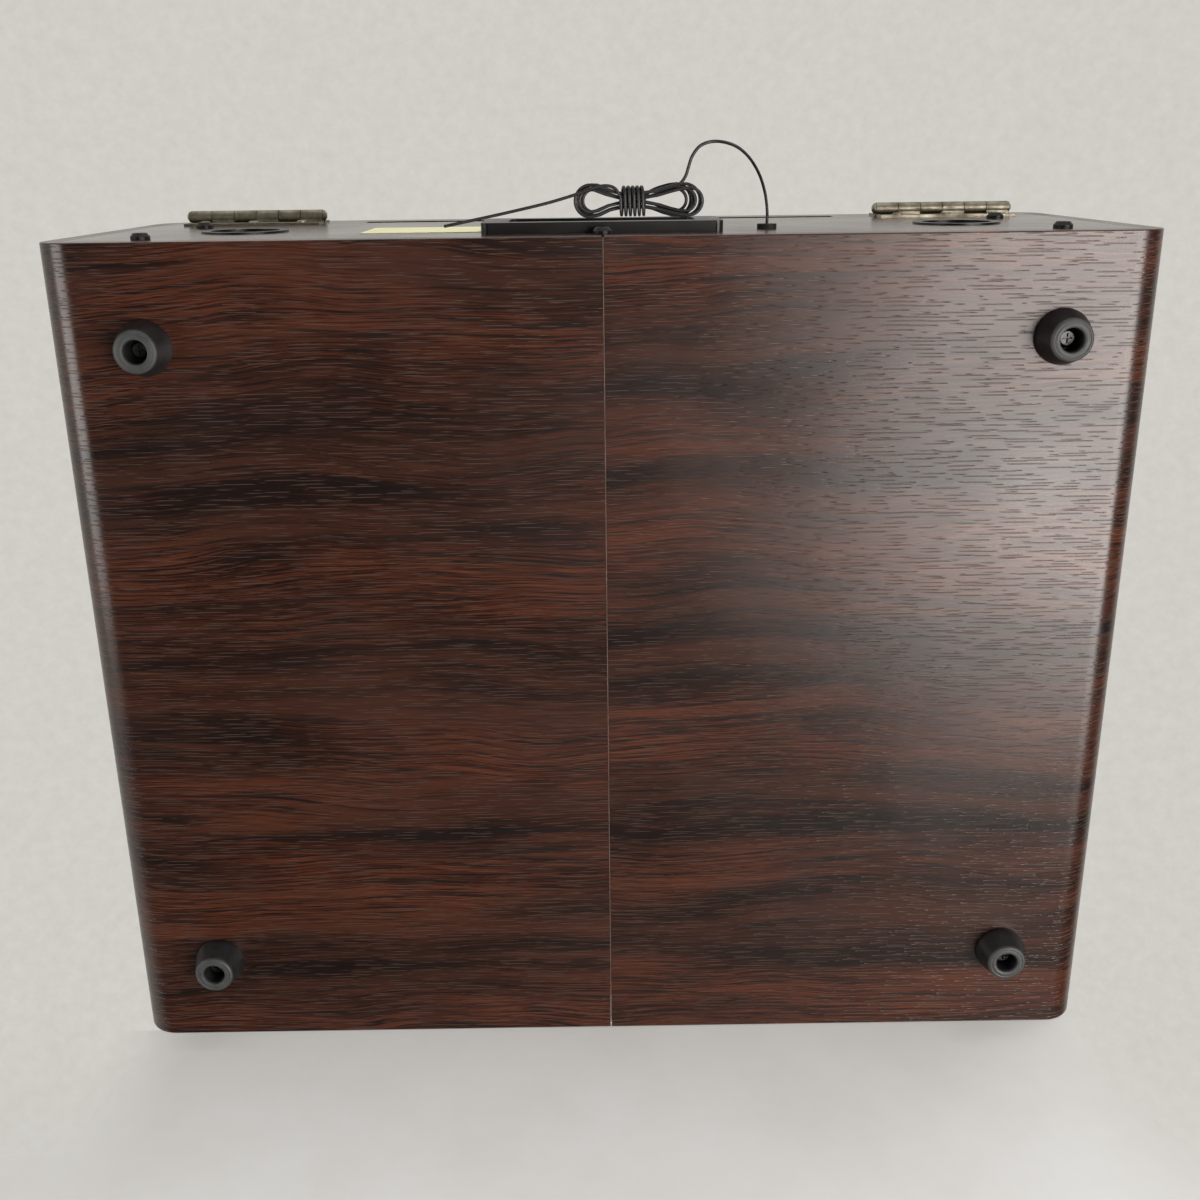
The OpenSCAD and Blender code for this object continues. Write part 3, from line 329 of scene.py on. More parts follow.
def axesOf(vector):
    made = node("ShaderNodeSeparateXYZ")
    link(vector, made.inputs[0])
    return made.outputs


def radiusOf(a, b):
    return sums("SQRT", sums("ADD", times(a, a), times(b, b)))


def mixShaders(share, a, b):
    return fedInOrder(node("ShaderNodeMixShader"), share, a, b)


def cloud(where, scale, detail=3.0, rough=0.55):
    values = {"Vector": where, "Scale": scale, "Detail": detail, "Roughness": rough}
    return fedByLabel(node("ShaderNodeTexNoise"), values)[0]


def startGroup(name, ins, outs):
    tree = bpy.data.node_groups.new(name, "ShaderNodeTree")
    kinds = {"value": "NodeSocketFloat", "colour": "NodeSocketColor", "vector": "NodeSocketVector"}
    for label, kind, value in ins:
        socket = tree.interface.new_socket(label, in_out="INPUT", socket_type=kinds[kind])
        if value is not None:
            socket.default_value = value
    for label, kind in outs:
        tree.interface.new_socket(label, in_out="OUTPUT", socket_type=kinds[kind])
    bench["tree"] = tree
    return tree, node("NodeGroupInput").outputs, node("NodeGroupOutput").inputs


def useGroup(group, **values):
    return fedByLabel(node("ShaderNodeGroup", node_tree=group), values)


finishes = {}


def startMaterial(name):
    finishes[name] = bpy.data.materials.new(name)
    finishes[name].use_nodes = True
    bench["tree"] = finishes[name].node_tree
    shader = bench["tree"].nodes["Principled BSDF"].inputs
    return shader, node("ShaderNodeTexCoord").outputs["Object"]


def showFinish(shader, colour, rough):
    link(colour, shader["Base Color"])
    link(rough, shader["Roughness"])


fineBump = 0.0002      # metres


def addBump(height, strength, distance, shader):
    values = {"Strength": strength, "Distance": distance, "Height": height}
    link(fedByLabel(node("ShaderNodeBump"), values)[0], shader["Normal"])


# Shared effects

# printed wood figure with pressed pores: cycles per millimetre along and across the grain, place in the
# noise, detail and roughness of each field; then the cells that hold one pore each
figureSet = {
    "sway": (0.006, 0.011, 0.0, 2.0, 0.5),
    "wavy": (0.03, 0.1, 3.0, 1.0, 0.5),
    "bands": (0.005, 0.075, 2.0, 2.0, 0.5),
    "veins": (0.009, 0.23, 5.0, 3.0, 0.6),
    "fibres": (0.024, 1.5, 9.0, 4.0, 0.75),
    "patches": (0.0045, 0.024, 31.0, 2.0, 0.5),
    "poreArea": (0.018, 0.05, 20.0, 1.0, 0.5),
    "lineArea": (0.011, 0.07, 43.0, 2.0, 0.5),
    "poreCell": (0.066, 0.66), "poreHalf": (0.1, 0.56), "poreTaper": -0.2, "poreWidth": (0.15, 0.07),
    "swayBy": 34.0, "waveBy": 1.1, "poreWaveBy": 0.5, "lineEvery": 0.1,
    "vein": (0.0065, 0.0045, 0.004, 1.0), "line": tone(18, 10, 8), "pore": tone(72, 54, 46),
}


def makeWoodGroup(setUp):
    tree, ins, outs = startGroup(
        "woodFigure",
        [("along", "value", 0.0), ("across", "value", 0.0), ("dark", "colour", None),
         ("middle", "colour", None), ("warm", "colour", None), ("reddening", "value", 0.5)],
        [("colour", "colour"), ("gloss", "value"), ("height", "value")])
    along, across = ins["along"], ins["across"]      # in millimetres

    def field(name, v):
        u, level, lift, detail, rough = setUp[name]
        return cloud(packed(times(along, u), times(v, level), lift), 1.0, detail, rough)

    wavy = field("wavy", across)
    bent = timesPlus(field("sway", across), setUp["swayBy"], across)
    bent = timesPlus(wavy, setUp["waveBy"], bent)
    straight = timesPlus(wavy, setUp["poreWaveBy"], across)
    bands, veins, fibres, patches = [field(name, bent) for name in ("bands", "veins", "fibres", "patches")]

    # one short dash in each cell, tapered at its ends
    cellAlong, cellAcross = setUp["poreCell"]
    spread = packed(times(along, cellAlong), times(straight, cellAcross), 0.0)
    cells = node("ShaderNodeTexVoronoi", voronoi_dimensions="2D", feature="F1")
    cell = fedByLabel(cells, {"Vector": spread, "Scale": 1.0})
    offset = fedInOrder(node("ShaderNodeVectorMath", operation="SUBTRACT"), spread, cell["Position"])
    fromMiddle = [sizeOf(v) for v in axesOf(offset)[:2]]
    halfDash = stretch(cell["Color"], 0.2, 0.8, *setUp["poreHalf"])
    inLength = stretch(minus(fromMiddle[0], halfDash), 0.0, setUp["poreTaper"])
    pores = times(inLength, stretch(fromMiddle[1], *setUp["poreWidth"]))
    poreMask = times(pores, stretch(field("poreArea", across), 0.3, 0.5, 0.45, 1.0))

    # dark and middle wood, then redder fibres, dark veins, fine lines and the pores
    grain = timesPlus(minus(bands, 0.5), 0.75, fibres)
    body = blendColour(stretch(grain, 0.42, 0.59), ins["dark"], ins["middle"])
    redFibre = times(stretch(fibres, 0.42, 0.6), stretch(patches, 0.42, 0.62))
    body = blendColour(times(redFibre, ins["reddening"]), body, ins["warm"])
    veinMask = times(stretch(veins, 0.54, 0.66), stretch(fibres, 0.35, 0.6, 0.95, 0.5))
    body = blendColour(veinMask, body, setUp["vein"])
    count = timesPlus(bands, 1.6, times(bent, setUp["lineEvery"]))
    fromLine = sizeOf(minus(sums("FRACT", count), 0.5))
    lineMask = times(stretch(fromLine, 0.075, 0.02), stretch(field("lineArea", across), 0.45, 0.6))
    body = blendColour(times(lineMask, 0.85), body, setUp["line"])
    body = blendColour(times(poreMask, 0.65), body, setUp["pore"])
    link(body, outs["colour"])
    gloss = sums("ADD", stretch(fibres, 0.3, 0.7, 0.03, -0.03), times(poreMask, 0.1))
    link(gloss, outs["gloss"])
    link(timesPlus(poreMask, -1.0, times(fibres, 0.09)), outs["height"])
    return tree


# soft cloudy change and fine specks for moulded, rubber and metal faces; sizes in cycles per metre
def makeHandledGroup():
    tree, ins, outs = startGroup(
        "handledFace",
        [("where", "vector", None), ("cloudSize", "value", 40.0), ("speckSize", "value", 2500.0),
         ("plain", "colour", None), ("handled", "colour", None), ("amount", "value", 0.5)],
        [("colour", "colour"), ("smear", "value"), ("speck", "value")])
    soft = cloud(ins["where"], ins["cloudSize"], 4.0, 0.6)
    speck = cloud(ins["where"], ins["speckSize"], 2.0, 0.6)
    share = times(stretch(soft, 0.38, 0.68), ins["amount"])
    colour = blendColour(share, ins["plain"], ins["handled"])
    link(colour, outs["colour"])
    link(stretch(soft, 0.3, 0.7), outs["smear"])
    link(speck, outs["speck"])
    return tree


# rings about an axis, as a lathe leaves them; r is in metres
def makeRingGroup():
    tree, ins, outs = startGroup(
        "turnedRings", [("a", "value", 0.0), ("b", "value", 0.0), ("pitch", "value", 0.001)],
        [("ring", "value")])
    r = radiusOf(ins["a"], ins["b"])
    phase = sums("DIVIDE", times(r, 2 * math.pi), ins["pitch"])
    link(timesPlus(sums("SINE", phase), 0.5, 0.5), outs["ring"])
    return tree


woodFigure = makeWoodGroup(figureSet)
handledFace = makeHandledGroup()
turnedRings = makeRingGroup()


def wornFace(where, cloudSize, speckSize, plain, handled, amount=0.5):
    return useGroup(handledFace, where=where, cloudSize=cloudSize, speckSize=speckSize,
                    plain=plain, handled=handled, amount=amount)


# Wood finishes

wrapWood = {
    "dark": tone(18, 9, 7), "middle": tone(53, 29, 20), "warm": tone(90, 46, 28),
    "red": 0.7, "rough": 0.27, "bump": 0.6,
}
woodSets = {
    "baseWood": wrapWood,
    "lidWood": wrapWood,
    "panelWood": {"dark": tone(38, 24, 20), "middle": tone(62, 40, 33), "warm": tone(78, 46, 35),
                  "red": 0.6, "rough": 0.2, "bump": 0.12},
    "fasciaWood": {"dark": tone(24, 15, 12), "middle": tone(50, 29, 22), "warm": tone(74, 40, 27),
                   "red": 0.7, "rough": 0.4, "bump": 0.35},
}

# the wrap: wall thickness, shifts of the figure, how far a cut end faces, depth of pores off the underside
wrapSet = {"wall": 0.0092, "sideShift": 171.0, "endShift": 340.0, "endFacing": 0.55, "relief": 0.35,
           "endRelief": 0.1}

# a short chip in the wrap at the rear edge of the underside
chipSet = {"middle": -0.1459, "half": 0.0062, "deep": 0.0016, "least": 0.0001, "bare": tone(92, 48, 36)}


def makeChip(where, x, y, z):
    ragged = stretch(cloud(where, 900.0, 2.0), 0.3, 0.7, 0.3, 1.0)
    reach = sizeOf(minus(x, chipSet["middle"]))
    taper = stretch(reach, chipSet["half"], 0.0, 0.2, 1.0)
    deep = times(taper, times(ragged, chipSet["deep"]))
    away = sums("MAXIMUM", minus(rearY, y), minus(z, underZ))
    inside = sums("LESS_THAN", away, sums("ADD", deep, chipSet["least"]))
    return times(inside, sums("LESS_THAN", reach, chipSet["half"]))


def makeWood(name, fold):
    setUp = woodSets[name]
    shader, where = startMaterial(name)
    x, y, z = axesOf(where)
    flatX, flatY, flatZ = [times(v, 1000.0) for v in (x, y, z)]
    relief = 1.0
    if fold is None:      # flat panels: the grain runs along X, across is up
        along = flatX
        across = timesPlus(y, 600.0, flatZ)
    else:                 # folded sheets: the grain runs round the fold
        level, up = fold
        side = sums("SIGN", x)
        rise = times(minus(z, level), up)
        length = sums("ADD", sizeOf(x), rise)
        along = times(times(length, side), 1000.0)
        across = timesPlus(side, wrapSet["sideShift"], flatY)
        facing = axesOf(where.node.outputs["Normal"])
        cutEnd = sums("GREATER_THAN", sizeOf(facing[1]), wrapSet["endFacing"])
        upright = sums("GREATER_THAN", sizeOf(x), halfWidth - wrapSet["wall"])
        endAcross = sums("ADD", pickOne(upright, flatZ, flatX), wrapSet["endShift"])
        along = pickOne(cutEnd, along, pickOne(upright, flatX, flatZ))      # cut ends: along each wall
        across = pickOne(cutEnd, across, endAcross)
        relief = stretch(facing[2], -0.6, -0.2, 1.0, wrapSet["relief"])      # deepest underneath
        relief = pickOne(cutEnd, relief, wrapSet["endRelief"])
    figure = useGroup(woodFigure, along=along, across=across, dark=setUp["dark"],
                      middle=setUp["middle"], warm=setUp["warm"], reddening=setUp["red"])
    colour = figure["colour"]
    if name == "baseWood":
        colour = blendColour(makeChip(where, x, y, z), colour, chipSet["bare"])
    patchy = stretch(cloud(where, 14.0), 0.3, 0.7, setUp["rough"] - 0.04, setUp["rough"] + 0.05)
    showFinish(shader, colour, sums("ADD", figure["gloss"], patchy))
    addBump(times(figure["height"], relief), setUp["bump"], 0.0003, shader)


makeWood("baseWood", (underZ, 1.0))
makeWood("lidWood", (topZ, -1.0))
makeWood("panelWood", None)
makeWood("fasciaWood", None)
print("wood finishes made")


# Plain finishes: colour, handled colour, how much of it, roughness, metal, cloud and speck sizes, bump
plainSets = {
    "black_rubber": ((22, 22, 23), (40, 39, 38), 0.6, 0.6, 0.0, 90, 2600, 0.3),
    "footScrew": ((70, 70, 70), (38, 37, 36), 0.7, 0.42, 1.0, 240, 2400, 0.12),
    "seamEdge": ((92, 72, 63), (66, 50, 43), 0.6, 0.6, 0.0, 60, 1500, 0.1),
    "ivoryMark": ((216, 206, 180), (190, 176, 144), 0.5, 0.45, 0.0, 300, 2400, 0.05),
    "inkMark": ((40, 30, 26), (64, 48, 40), 0.5, 0.6, 0.0, 300, 2400, 0.05),
    "deck_black": ((27, 27, 28), (38, 38, 39), 0.5, 0.55, 0.0, 30, 3200, 0.45),
    "black_plastic": ((17, 17, 18), (28, 28, 29), 0.5, 0.34, 0.0, 50, 2400, 0.12),
    "steel": ((176, 174, 170), (128, 124, 118), 0.55, 0.3, 1.0, 120, 2200, 0.1),
    "black_steel": ((24, 24, 25), (46, 44, 42), 0.4, 0.42, 0.35, 150, 2400, 0.15),
    "antique_brass": ((176, 170, 152), (112, 103, 86), 0.8, 0.46, 1.0, 210, 2600, 0.16),
    "polished_brass": ((206, 168, 92), (164, 124, 62), 0.5, 0.2, 1.0, 60, 1800, 0.05),
    "wire_black": ((18, 18, 19), (34, 33, 33), 0.5, 0.46, 0.0, 220, 4200, 0.1),
    "pickup_red": ((150, 28, 22), (112, 18, 15), 0.5, 0.28, 0.0, 90, 2400, 0.08),
    "pointer_red": ((186, 34, 26), (140, 22, 18), 0.5, 0.35, 0.0, 120, 2400, 0.08),
    "raw_wood": ((186, 150, 104), (146, 108, 68), 0.8, 0.7, 0.0, 35, 900, 0.3),
}


def makePlain(name):
    plain, handled, amount, rough, metal, cloudSize, speckSize, bump = plainSets[name]
    shader, where = startMaterial(name)
    face = wornFace(where, cloudSize, speckSize, tone(*plain), tone(*handled), amount)
    spread = timesPlus(face["smear"], 0.16, rough - 0.08)
    showFinish(shader, face["colour"], timesPlus(face["speck"], 0.06, spread))
    shader["Metallic"].default_value = metal
    addBump(face["speck"], bump, fineBump, shader)


for name in plainSets:
    makePlain(name)


# Finishes with their own pattern


def makeLabel():
    shader, where = startMaterial("label_film")
    face = wornFace(where, 70.0, 1800.0, tone(222, 219, 172), tone(206, 201, 150), 0.6)
    showFinish(shader, face["colour"], stretch(face["smear"], 0.0, 1.0, 0.38, 0.55))
    addBump(face["smear"], 0.2, 0.0004, shader)


# rings about the spindle: colour, handled colour, pitch of the rings, roughness, metal, bump
turnedSets = {
    "cast_aluminium": (tone(172, 172, 174), tone(146, 146, 150), 0.0011, 0.32, 1.0, 0.12),
    "matRubber": (tone(22, 22, 23), tone(36, 35, 34), 0.0034, 0.7, 0.0, 0.6),
}


def makeTurned(name, centre):
    plain, handled, pitch, rough, metal, bump = turnedSets[name]
    shader, where = startMaterial(name)
    a, b = [minus(v, middle) for v, middle in zip(axesOf(where), centre[:2])]
    ring = useGroup(turnedRings, a=a, b=b, pitch=pitch)["ring"]
    face = wornFace(where, 25.0, 1600.0, plain, handled)
    colour = blendColour(times(ring, 0.18), face["colour"], (0.0, 0.0, 0.0, 1.0))
    spread = timesPlus(face["smear"], 0.12, rough - 0.06)
    showFinish(shader, colour, timesPlus(ring, 0.08, spread))
    shader["Metallic"].default_value = metal
    addBump(ring, bump, 0.0003, shader)


makeLabel()
platterMid = (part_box("platter")[0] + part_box("platter")[1]) / 2
for name in turnedSets:
    makeTurned(name, platterMid)


# ribbed paper, about each loudspeaker's own axis
def makeCone():
    shader, where = startMaterial("cone_paper")
    low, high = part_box("speaker_cones")
    parts = axesOf(where)
    reach = (high.z - low.z) / 2
    a = minus(sizeOf(parts[0]), high.x - reach)
    b = minus(parts[2], (high.z + low.z) / 2)
    ring = useGroup(turnedRings, a=a, b=b, pitch=0.0042)["ring"]
    face = wornFace(where, 120.0, 1500.0, tone(34, 32, 30), tone(58, 54, 48))
    showFinish(shader, face["colour"], stretch(face["speck"], 0.2, 0.8, 0.72, 0.9))
    addBump(timesPlus(face["speck"], 0.3, ring), 0.5, 0.0006, shader)


# laminate with pale tracks under green lacquer; the blocks on it are dark
boardSet = {
    "tracks": {"Scale": 110.0, "Mortar Size": 0.025, "Color1": tone(24, 74, 40), "Color2": tone(20, 64, 35),
               "Mortar": tone(92, 132, 70)},
    "blocksFrom": 0.0223,      # above the lowest point of the board
}


def makeBoard():
    shader, where = startMaterial("board_green")
    grid = node("ShaderNodeTexBrick", offset=0.37, squash=1.6)
    tracks = fedByLabel(grid, {"Vector": where, **boardSet["tracks"]})
    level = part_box("main_board")[0].z + boardSet["blocksFrom"]
    raised = sums("GREATER_THAN", axesOf(where)[2], level)
    patchy = stretch(cloud(where, 60.0), 0.35, 0.65)
    block = blendColour(patchy, tone(34, 34, 36), tone(58, 58, 60))
    colour = blendColour(raised, tracks["Color"], block)
    showFinish(shader, colour, stretch(cloud(where, 300.0), 0.3, 0.7, 0.35, 0.55))
    addBump(tracks["Fac"], 0.3, fineBump, shader)


def makeIvory():
    shader, where = startMaterial("dial_ivory")
    face = wornFace(where, 18.0, 1400.0, tone(226, 211, 172), tone(204, 184, 138), 0.6)
    showFinish(shader, face["colour"], stretch(face["speck"], 0.2, 0.8, 0.48, 0.62))
    addBump(face["speck"], 0.1, fineBump, shader)


# twisted fibre: bands that lean across the cord
def makeFibre():
    shader, where = startMaterial("cord_fibre")
    bands = node("ShaderNodeTexWave", wave_type="BANDS", bands_direction="DIAGONAL")
    twist = fedByLabel(bands, {"Vector": where, "Scale": 420.0, "Distortion": 1.5})["Fac"]
    colour = blendColour(twist, tone(150, 124, 84), tone(206, 184, 140))
    showFinish(shader, colour, stretch(twist, 0.0, 1.0, 0.9, 0.7))
    addBump(twist, 0.5, fineBump, shader)


def makeGlass():
    shader, where = startMaterial("dial_glass")
    shader["Base Color"].default_value = (0.96, 0.98, 0.97, 1.0)
    shader["Transmission Weight"].default_value = 1.0
    shader["IOR"].default_value = 1.45
    smear = cloud(where, 45.0, 4.0, 0.65)
    link(stretch(smear, 0.4, 0.75, 0.01, 0.12), shader["Roughness"])


# phono jacks: red on one side, white on the other
def makeJacks():
    shader, where = startMaterial("jack_plastic")
    low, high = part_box("phono_jacks")
    second = sums("GREATER_THAN", axesOf(where)[0], (low.x + high.x) / 2)
    worn = stretch(cloud(where, 260.0), 0.35, 0.7, 0.0, 0.35)
    red = blendColour(worn, tone(170, 36, 30), tone(120, 24, 20))
    white = blendColour(worn, tone(220, 218, 210), tone(176, 172, 162))
    rough = stretch(cloud(where, 500.0), 0.3, 0.7, 0.28, 0.42)
    showFinish(shader, blendColour(second, red, white), rough)


for maker in (makeCone, makeBoard, makeIvory, makeFibre, makeGlass, makeJacks):
    maker()
print("finishes made:", len(finishes))


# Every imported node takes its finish
ownFinish = {
    "cabinet_left": "baseWood", "cabinet_right": "baseWood", "lid_shell": "lidWood",
    "front_rail": "panelWood", "rear_panel": "panelWood", "lid_front_rail": "panelWood",
    "lid_rear_rail": "panelWood", "front_baffle": "fasciaWood",
    "platter_mat": "matRubber", "foot_screws": "footScrew",
}


def dress(piece, finish):
    piece.data.materials.clear()
    piece.data.materials.append(finishes[finish])


for name, holder in cadNodes.items():
    dress(holder, ownFinish.get(name, slotOf[name]))


# Antenna wire: from its grommet down to the table, into the tied hank, and its free end

wireSet = {      # in millimetres; places are measured from the waist of the hank
    "diameter": 1.2, "gap": 0.46, "loops": 6, "layers": 4, "wraps": 6,
    "waist": (-10.8, rearY * 1000 + 13.0),
    "rightReach": 21.3, "leftReach": 15.4, "rightStep": 1.6, "leftStep": 0.6, "sag": 1.9,
    "square": 0.55, "leadIn": -0.05, "waistFlat": 4.0, "waistRoom": 0.22, "foldRoom": 3, "layerPace": 6,
    "wrapRoom": 0.45, "wrapLift": 0.3, "tableGap": 0.05, "loopShort": 0.07, "wrapShort": 0.5,
    "leadPull": 4, "bridgePull": (5, 3.2),
    "loopPoints": 48, "wrapPoints": 32, "bridgePoints": 14, "freePoints": 5,
    "lead": [(57.2, -11, 53), (57.2, -6, 53), (56, 1, 52), (53, 8, 47), (48, 14, 36), (42, 18, 21),
             (36, 20, 8), (30, 20.6, 1.8), (25.2, 19.2, 0.7), (22.2, 15.6, 0.7), (20.8, 11.6, 0.75),
             (19.8, 8.6, 1)],
    "tail": [(-6, 4.4, 0.66), (-9, 5.6, 0.66), (-13, 5.2, 0.66), (-18, 3.6, 0.66), (-23, 2, 0.66),
             (-32, -0.4, 0.66), (-45, -3.2, 0.66), (-58, -5.8, 0.66), (-70, -8.1, 0.66)],
}


def wireRoute(setUp):
    d = setUp["diameter"]
    step = d + setUp["gap"]
    perLayer = setUp["loops"] / setUp["layers"]
    waist = (perLayer + setUp["waistRoom"]) * step
    foldR = perLayer * step + setUp["foldRoom"] * d
    flat = setUp["waistFlat"]
    wrapA = waist + step + setUp["wrapRoom"]
    wrapB = (setUp["layers"] + 1) / 2 * step + setUp["wrapLift"]
    midZ = wrapB + d / 2 + setUp["tableGap"]
    wrapL = setUp["wraps"] * step
    loopsEnd = setUp["loops"] - setUp["loopShort"]
    wrapEnd = setUp["wraps"] - setUp["wrapShort"]

    def ease(q):
        q = min(1.0, max(0.0, q))
        return q * q * (3 - 2 * q)

    def easeSlope(q):
        return 6 * q * (1 - q) if 0 < q < 1 else 0.0

    def insetAt(turn):
        return turn if turn <= 0 else perLayer - abs(perLayer - turn % (2 * perLayer))

    def layerAt(turn):
        pace = setUp["layerPace"]
        return sum(ease((turn - k * perLayer) * pace + 0.5) for k in range(1, setUp["layers"]))

    def foldAt(c, a):
        a = math.radians(a)
        return (c + foldR * math.cos(a), foldR * math.sin(a), math.cos(a), math.sin(a))

    def runAt(x, c, side):
        q = (abs(x) - flat) / (c - flat)
        width = waist + (foldR - waist) * ease(q)
        slope = math.copysign(1.0, x) * (foldR - waist) * easeSlope(q) / (c - flat)
        size = math.hypot(slope, 1.0)
        return (x, side * width, -slope / size, side / size)

    def outerAt(f, right, left):
        if f < 1 / 6:
            return foldAt(right, 540 * f)
        if f < 1 / 3:
            x = right - (right + left) * (6 * f - 1)
            return runAt(x, right if x > 0 else left, 1)
        if f < 2 / 3:
            return foldAt(-left, 540 * f - 90)
        if f < 5 / 6:
            x = (right + left) * (6 * f - 4) - left
            return runAt(x, right if x > 0 else left, -1)
        return foldAt(right, 540 * f - 540)

    def loopAt(turn):
        n = layerAt(turn)
        right = setUp["rightReach"] - setUp["rightStep"] * n
        left = setUp["leftReach"] - setUp["leftStep"] * n
        outX, outY, awayX, awayY = outerAt((turn + 0.25) % 1.0, right, left)      # a turn starts at the waist
        back = insetAt(turn) * step
        x = outX - back * awayX
        y = outY - back * awayY
        level = n - (setUp["layers"] - 1) / 2
        z = midZ + level * step - setUp["sag"] * ease(x / (setUp["rightReach"] + foldR))
        return Vector((x, y, z))

    def bent(v):
        return math.copysign(abs(v) ** setUp["square"], v)

    def wrapAt(turn):
        a = math.radians(90 + 360 * turn)
        return Vector((wrapL / 2 - step * turn, wrapA * bent(math.cos(a)), midZ + wrapB * bent(math.sin(a))))

    def direction(at, t):
        return (at(t + 0.0005) - at(t - 0.0005)).normalized()

    def curveThrough(points, steps):
        ends = [points[0]] + points + [points[-1]]
        line = []
        for a, b, c, e in zip(ends, ends[1:], ends[2:], ends[3:]):
            for i in range(steps):
                s = i / steps
                bow = (2 * a - 5 * b + 4 * c - e) * s * s
                twist = (3 * b - a - 3 * c + e) * s ** 3
                line.append(0.5 * (2 * b + (c - a) * s + bow + twist))
        line.append(points[-1])
        return line

    def bezier(a, b, c, e, s):
        return a * (1 - s) ** 3 + b * (3 * s * (1 - s) ** 2) + c * (3 * s * s * (1 - s)) + e * s ** 3

    leadIn, free = setUp["leadIn"], setUp["freePoints"]
    start, startWay = loopAt(leadIn), direction(loopAt, leadIn)
    joining = [start - startWay * setUp["leadPull"], start - startWay * d]
    lead = curveThrough([Vector(p) for p in setUp["lead"]] + joining, free)
    count = round((loopsEnd - leadIn) * setUp["loopPoints"])
    loops = [loopAt(leadIn + (loopsEnd - leadIn) * i / count) for i in range(count + 1)]
    e, eWay = loopAt(loopsEnd), direction(loopAt, loopsEnd)
    w, wWay = wrapAt(0.0), (wrapAt(0.001) - wrapAt(0.0)).normalized()
    eHandle, wHandle = e + eWay * setUp["bridgePull"][0], w - wWay * setUp["bridgePull"][1]
    count = setUp["bridgePoints"]
    bridge = [bezier(e, eHandle, wHandle, w, i / count) for i in range(1, count)]
    count = round(wrapEnd * setUp["wrapPoints"])
    wraps = [wrapAt(wrapEnd * i / count) for i in range(count + 1)]
    last, lastWay = wrapAt(wrapEnd), (wrapAt(wrapEnd) - wrapAt(wrapEnd - 0.001)).normalized()
    tail = curveThrough([last + lastWay * d] + [Vector(p) for p in setUp["tail"]], free)
    atX, atY = setUp["waist"]
    whole = lead + loops + bridge + wraps + tail
    return [Vector((atX - p.x, atY + p.y, p.z)) / 1000 for p in whole]


def makeWire(setUp):
    route = wireRoute(setUp)
    curve = bpy.data.curves.new("antennaWire", "CURVE")
    curve.dimensions = "3D"
    curve.bevel_depth = 1.0
    curve.bevel_resolution = 3
    curve.use_fill_caps = True
    spline = curve.splines.new("POLY")
    spline.points.add(len(route) - 1)
    for point, place in zip(spline.points, route):
        point.co = (*place, 1.0)
        point.radius = setUp["diameter"] / 2000
    spline.use_smooth = True
    piece = bpy.data.objects.new("antennaWire", curve)
    scene.collection.objects.link(piece)
    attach(piece, "base")
    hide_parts("antenna_lead", "antenna_hank", "antenna_tail")
    dress(piece, "wire_black")


makeWire(wireSet)


# Rounded edges: widths in metres, angles in degrees
edgeSet = {"case": 0.0005, "plate": 0.0004, "bezel": 0.0006, "long": 0.004, "rounds": 2, "flat": 0.4,
           "sharp": 40, "smooth": 50}


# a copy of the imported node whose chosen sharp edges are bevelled
def softened(nodeName, pieceName, body, finish, width, test):
    piece = bpy.data.objects.new(pieceName, cadNodes[nodeName].data.copy())
    scene.collection.objects.link(piece)
    editAll(piece, "EDGE")
    bpy.ops.mesh.remove_doubles(threshold=mergeGap)
    bpy.ops.mesh.dissolve_limited(angle_limit=math.radians(edgeSet["flat"]))
    endEdit()
    sharp = sharpEdges(piece.data, edgeSet["sharp"])
    pickEdges(piece, lambda e, a, b: e.key in sharp and test(a, b))
    bpy.ops.mesh.bevel(offset=width, segments=edgeSet["rounds"], affect="EDGES", clamp_overlap=True)
    endEdit()
    bpy.ops.object.shade_smooth_by_angle(angle=math.radians(edgeSet["smooth"]))
    addModifier(piece, "WEIGHTED_NORMAL", keep_sharp=True)      # flat faces stay flat beside their bevels
    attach(piece, body)
    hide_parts(nodeName)
    dress(piece, finish)


def near(a, b, room=0.00002):
    return abs(a - b) < room


# the wrapped sheets have a small round where they are cut at the front and the rear
def caseRim(a, b):
    return (near(a.y, frontY) and near(b.y, frontY)) or (near(a.y, rearY) and near(b.y, rearY))


def longEdge(a, b):
    return (a - b).length > edgeSet["long"]


softened("cabinet_left", "caseLeft", "base", "baseWood", edgeSet["case"], caseRim)
softened("cabinet_right", "caseRight", "base", "baseWood", edgeSet["case"], caseRim)
softened("lid_shell", "lidShell", "lid", "lidWood", edgeSet["case"], caseRim)
softened("jack_plate", "jackPlate", "base", "black_plastic", edgeSet["plate"], longEdge)
softened("dial_bezel", "dialBezel", "base", slotOf["dial_bezel"], edgeSet["bezel"], longEdge)
print("case edges rounded")


# Seam: the cut edge of the wrap that shows as a fine pale line down the middle of the underside
seamSet = {"width": 0.00042, "below": 0.00006, "deep": 0.005, "round": 0.00014, "frontGap": 0.0025,
           "rearGap": 0.0006, "long": 0.1}


def makeSeam(setUp):
    first, last = frontY + setUp["frontGap"], rearY - setUp["rearGap"]
    low = underZ + setUp["below"]
    size = (setUp["width"], last - first, setUp["deep"])
    piece = addBlock("seamLine", size, (0.0, (first + last) / 2, low + setUp["deep"] / 2))
    pickEdges(piece, lambda e, a, b: near(a.z, low) and near(b.z, low) and (a - b).length > setUp["long"])
    bpy.ops.mesh.bevel(offset=setUp["round"], segments=2, affect="EDGES")
    bpy.ops.mesh.select_all(action="SELECT")
    bpy.ops.mesh.bisect(plane_co=(0, 0, 0), plane_no=(0, 1, 0))
    endEdit()
    settle(piece)
    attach(piece, "base")
    dress(piece, "seamEdge")


makeSeam(seamSet)


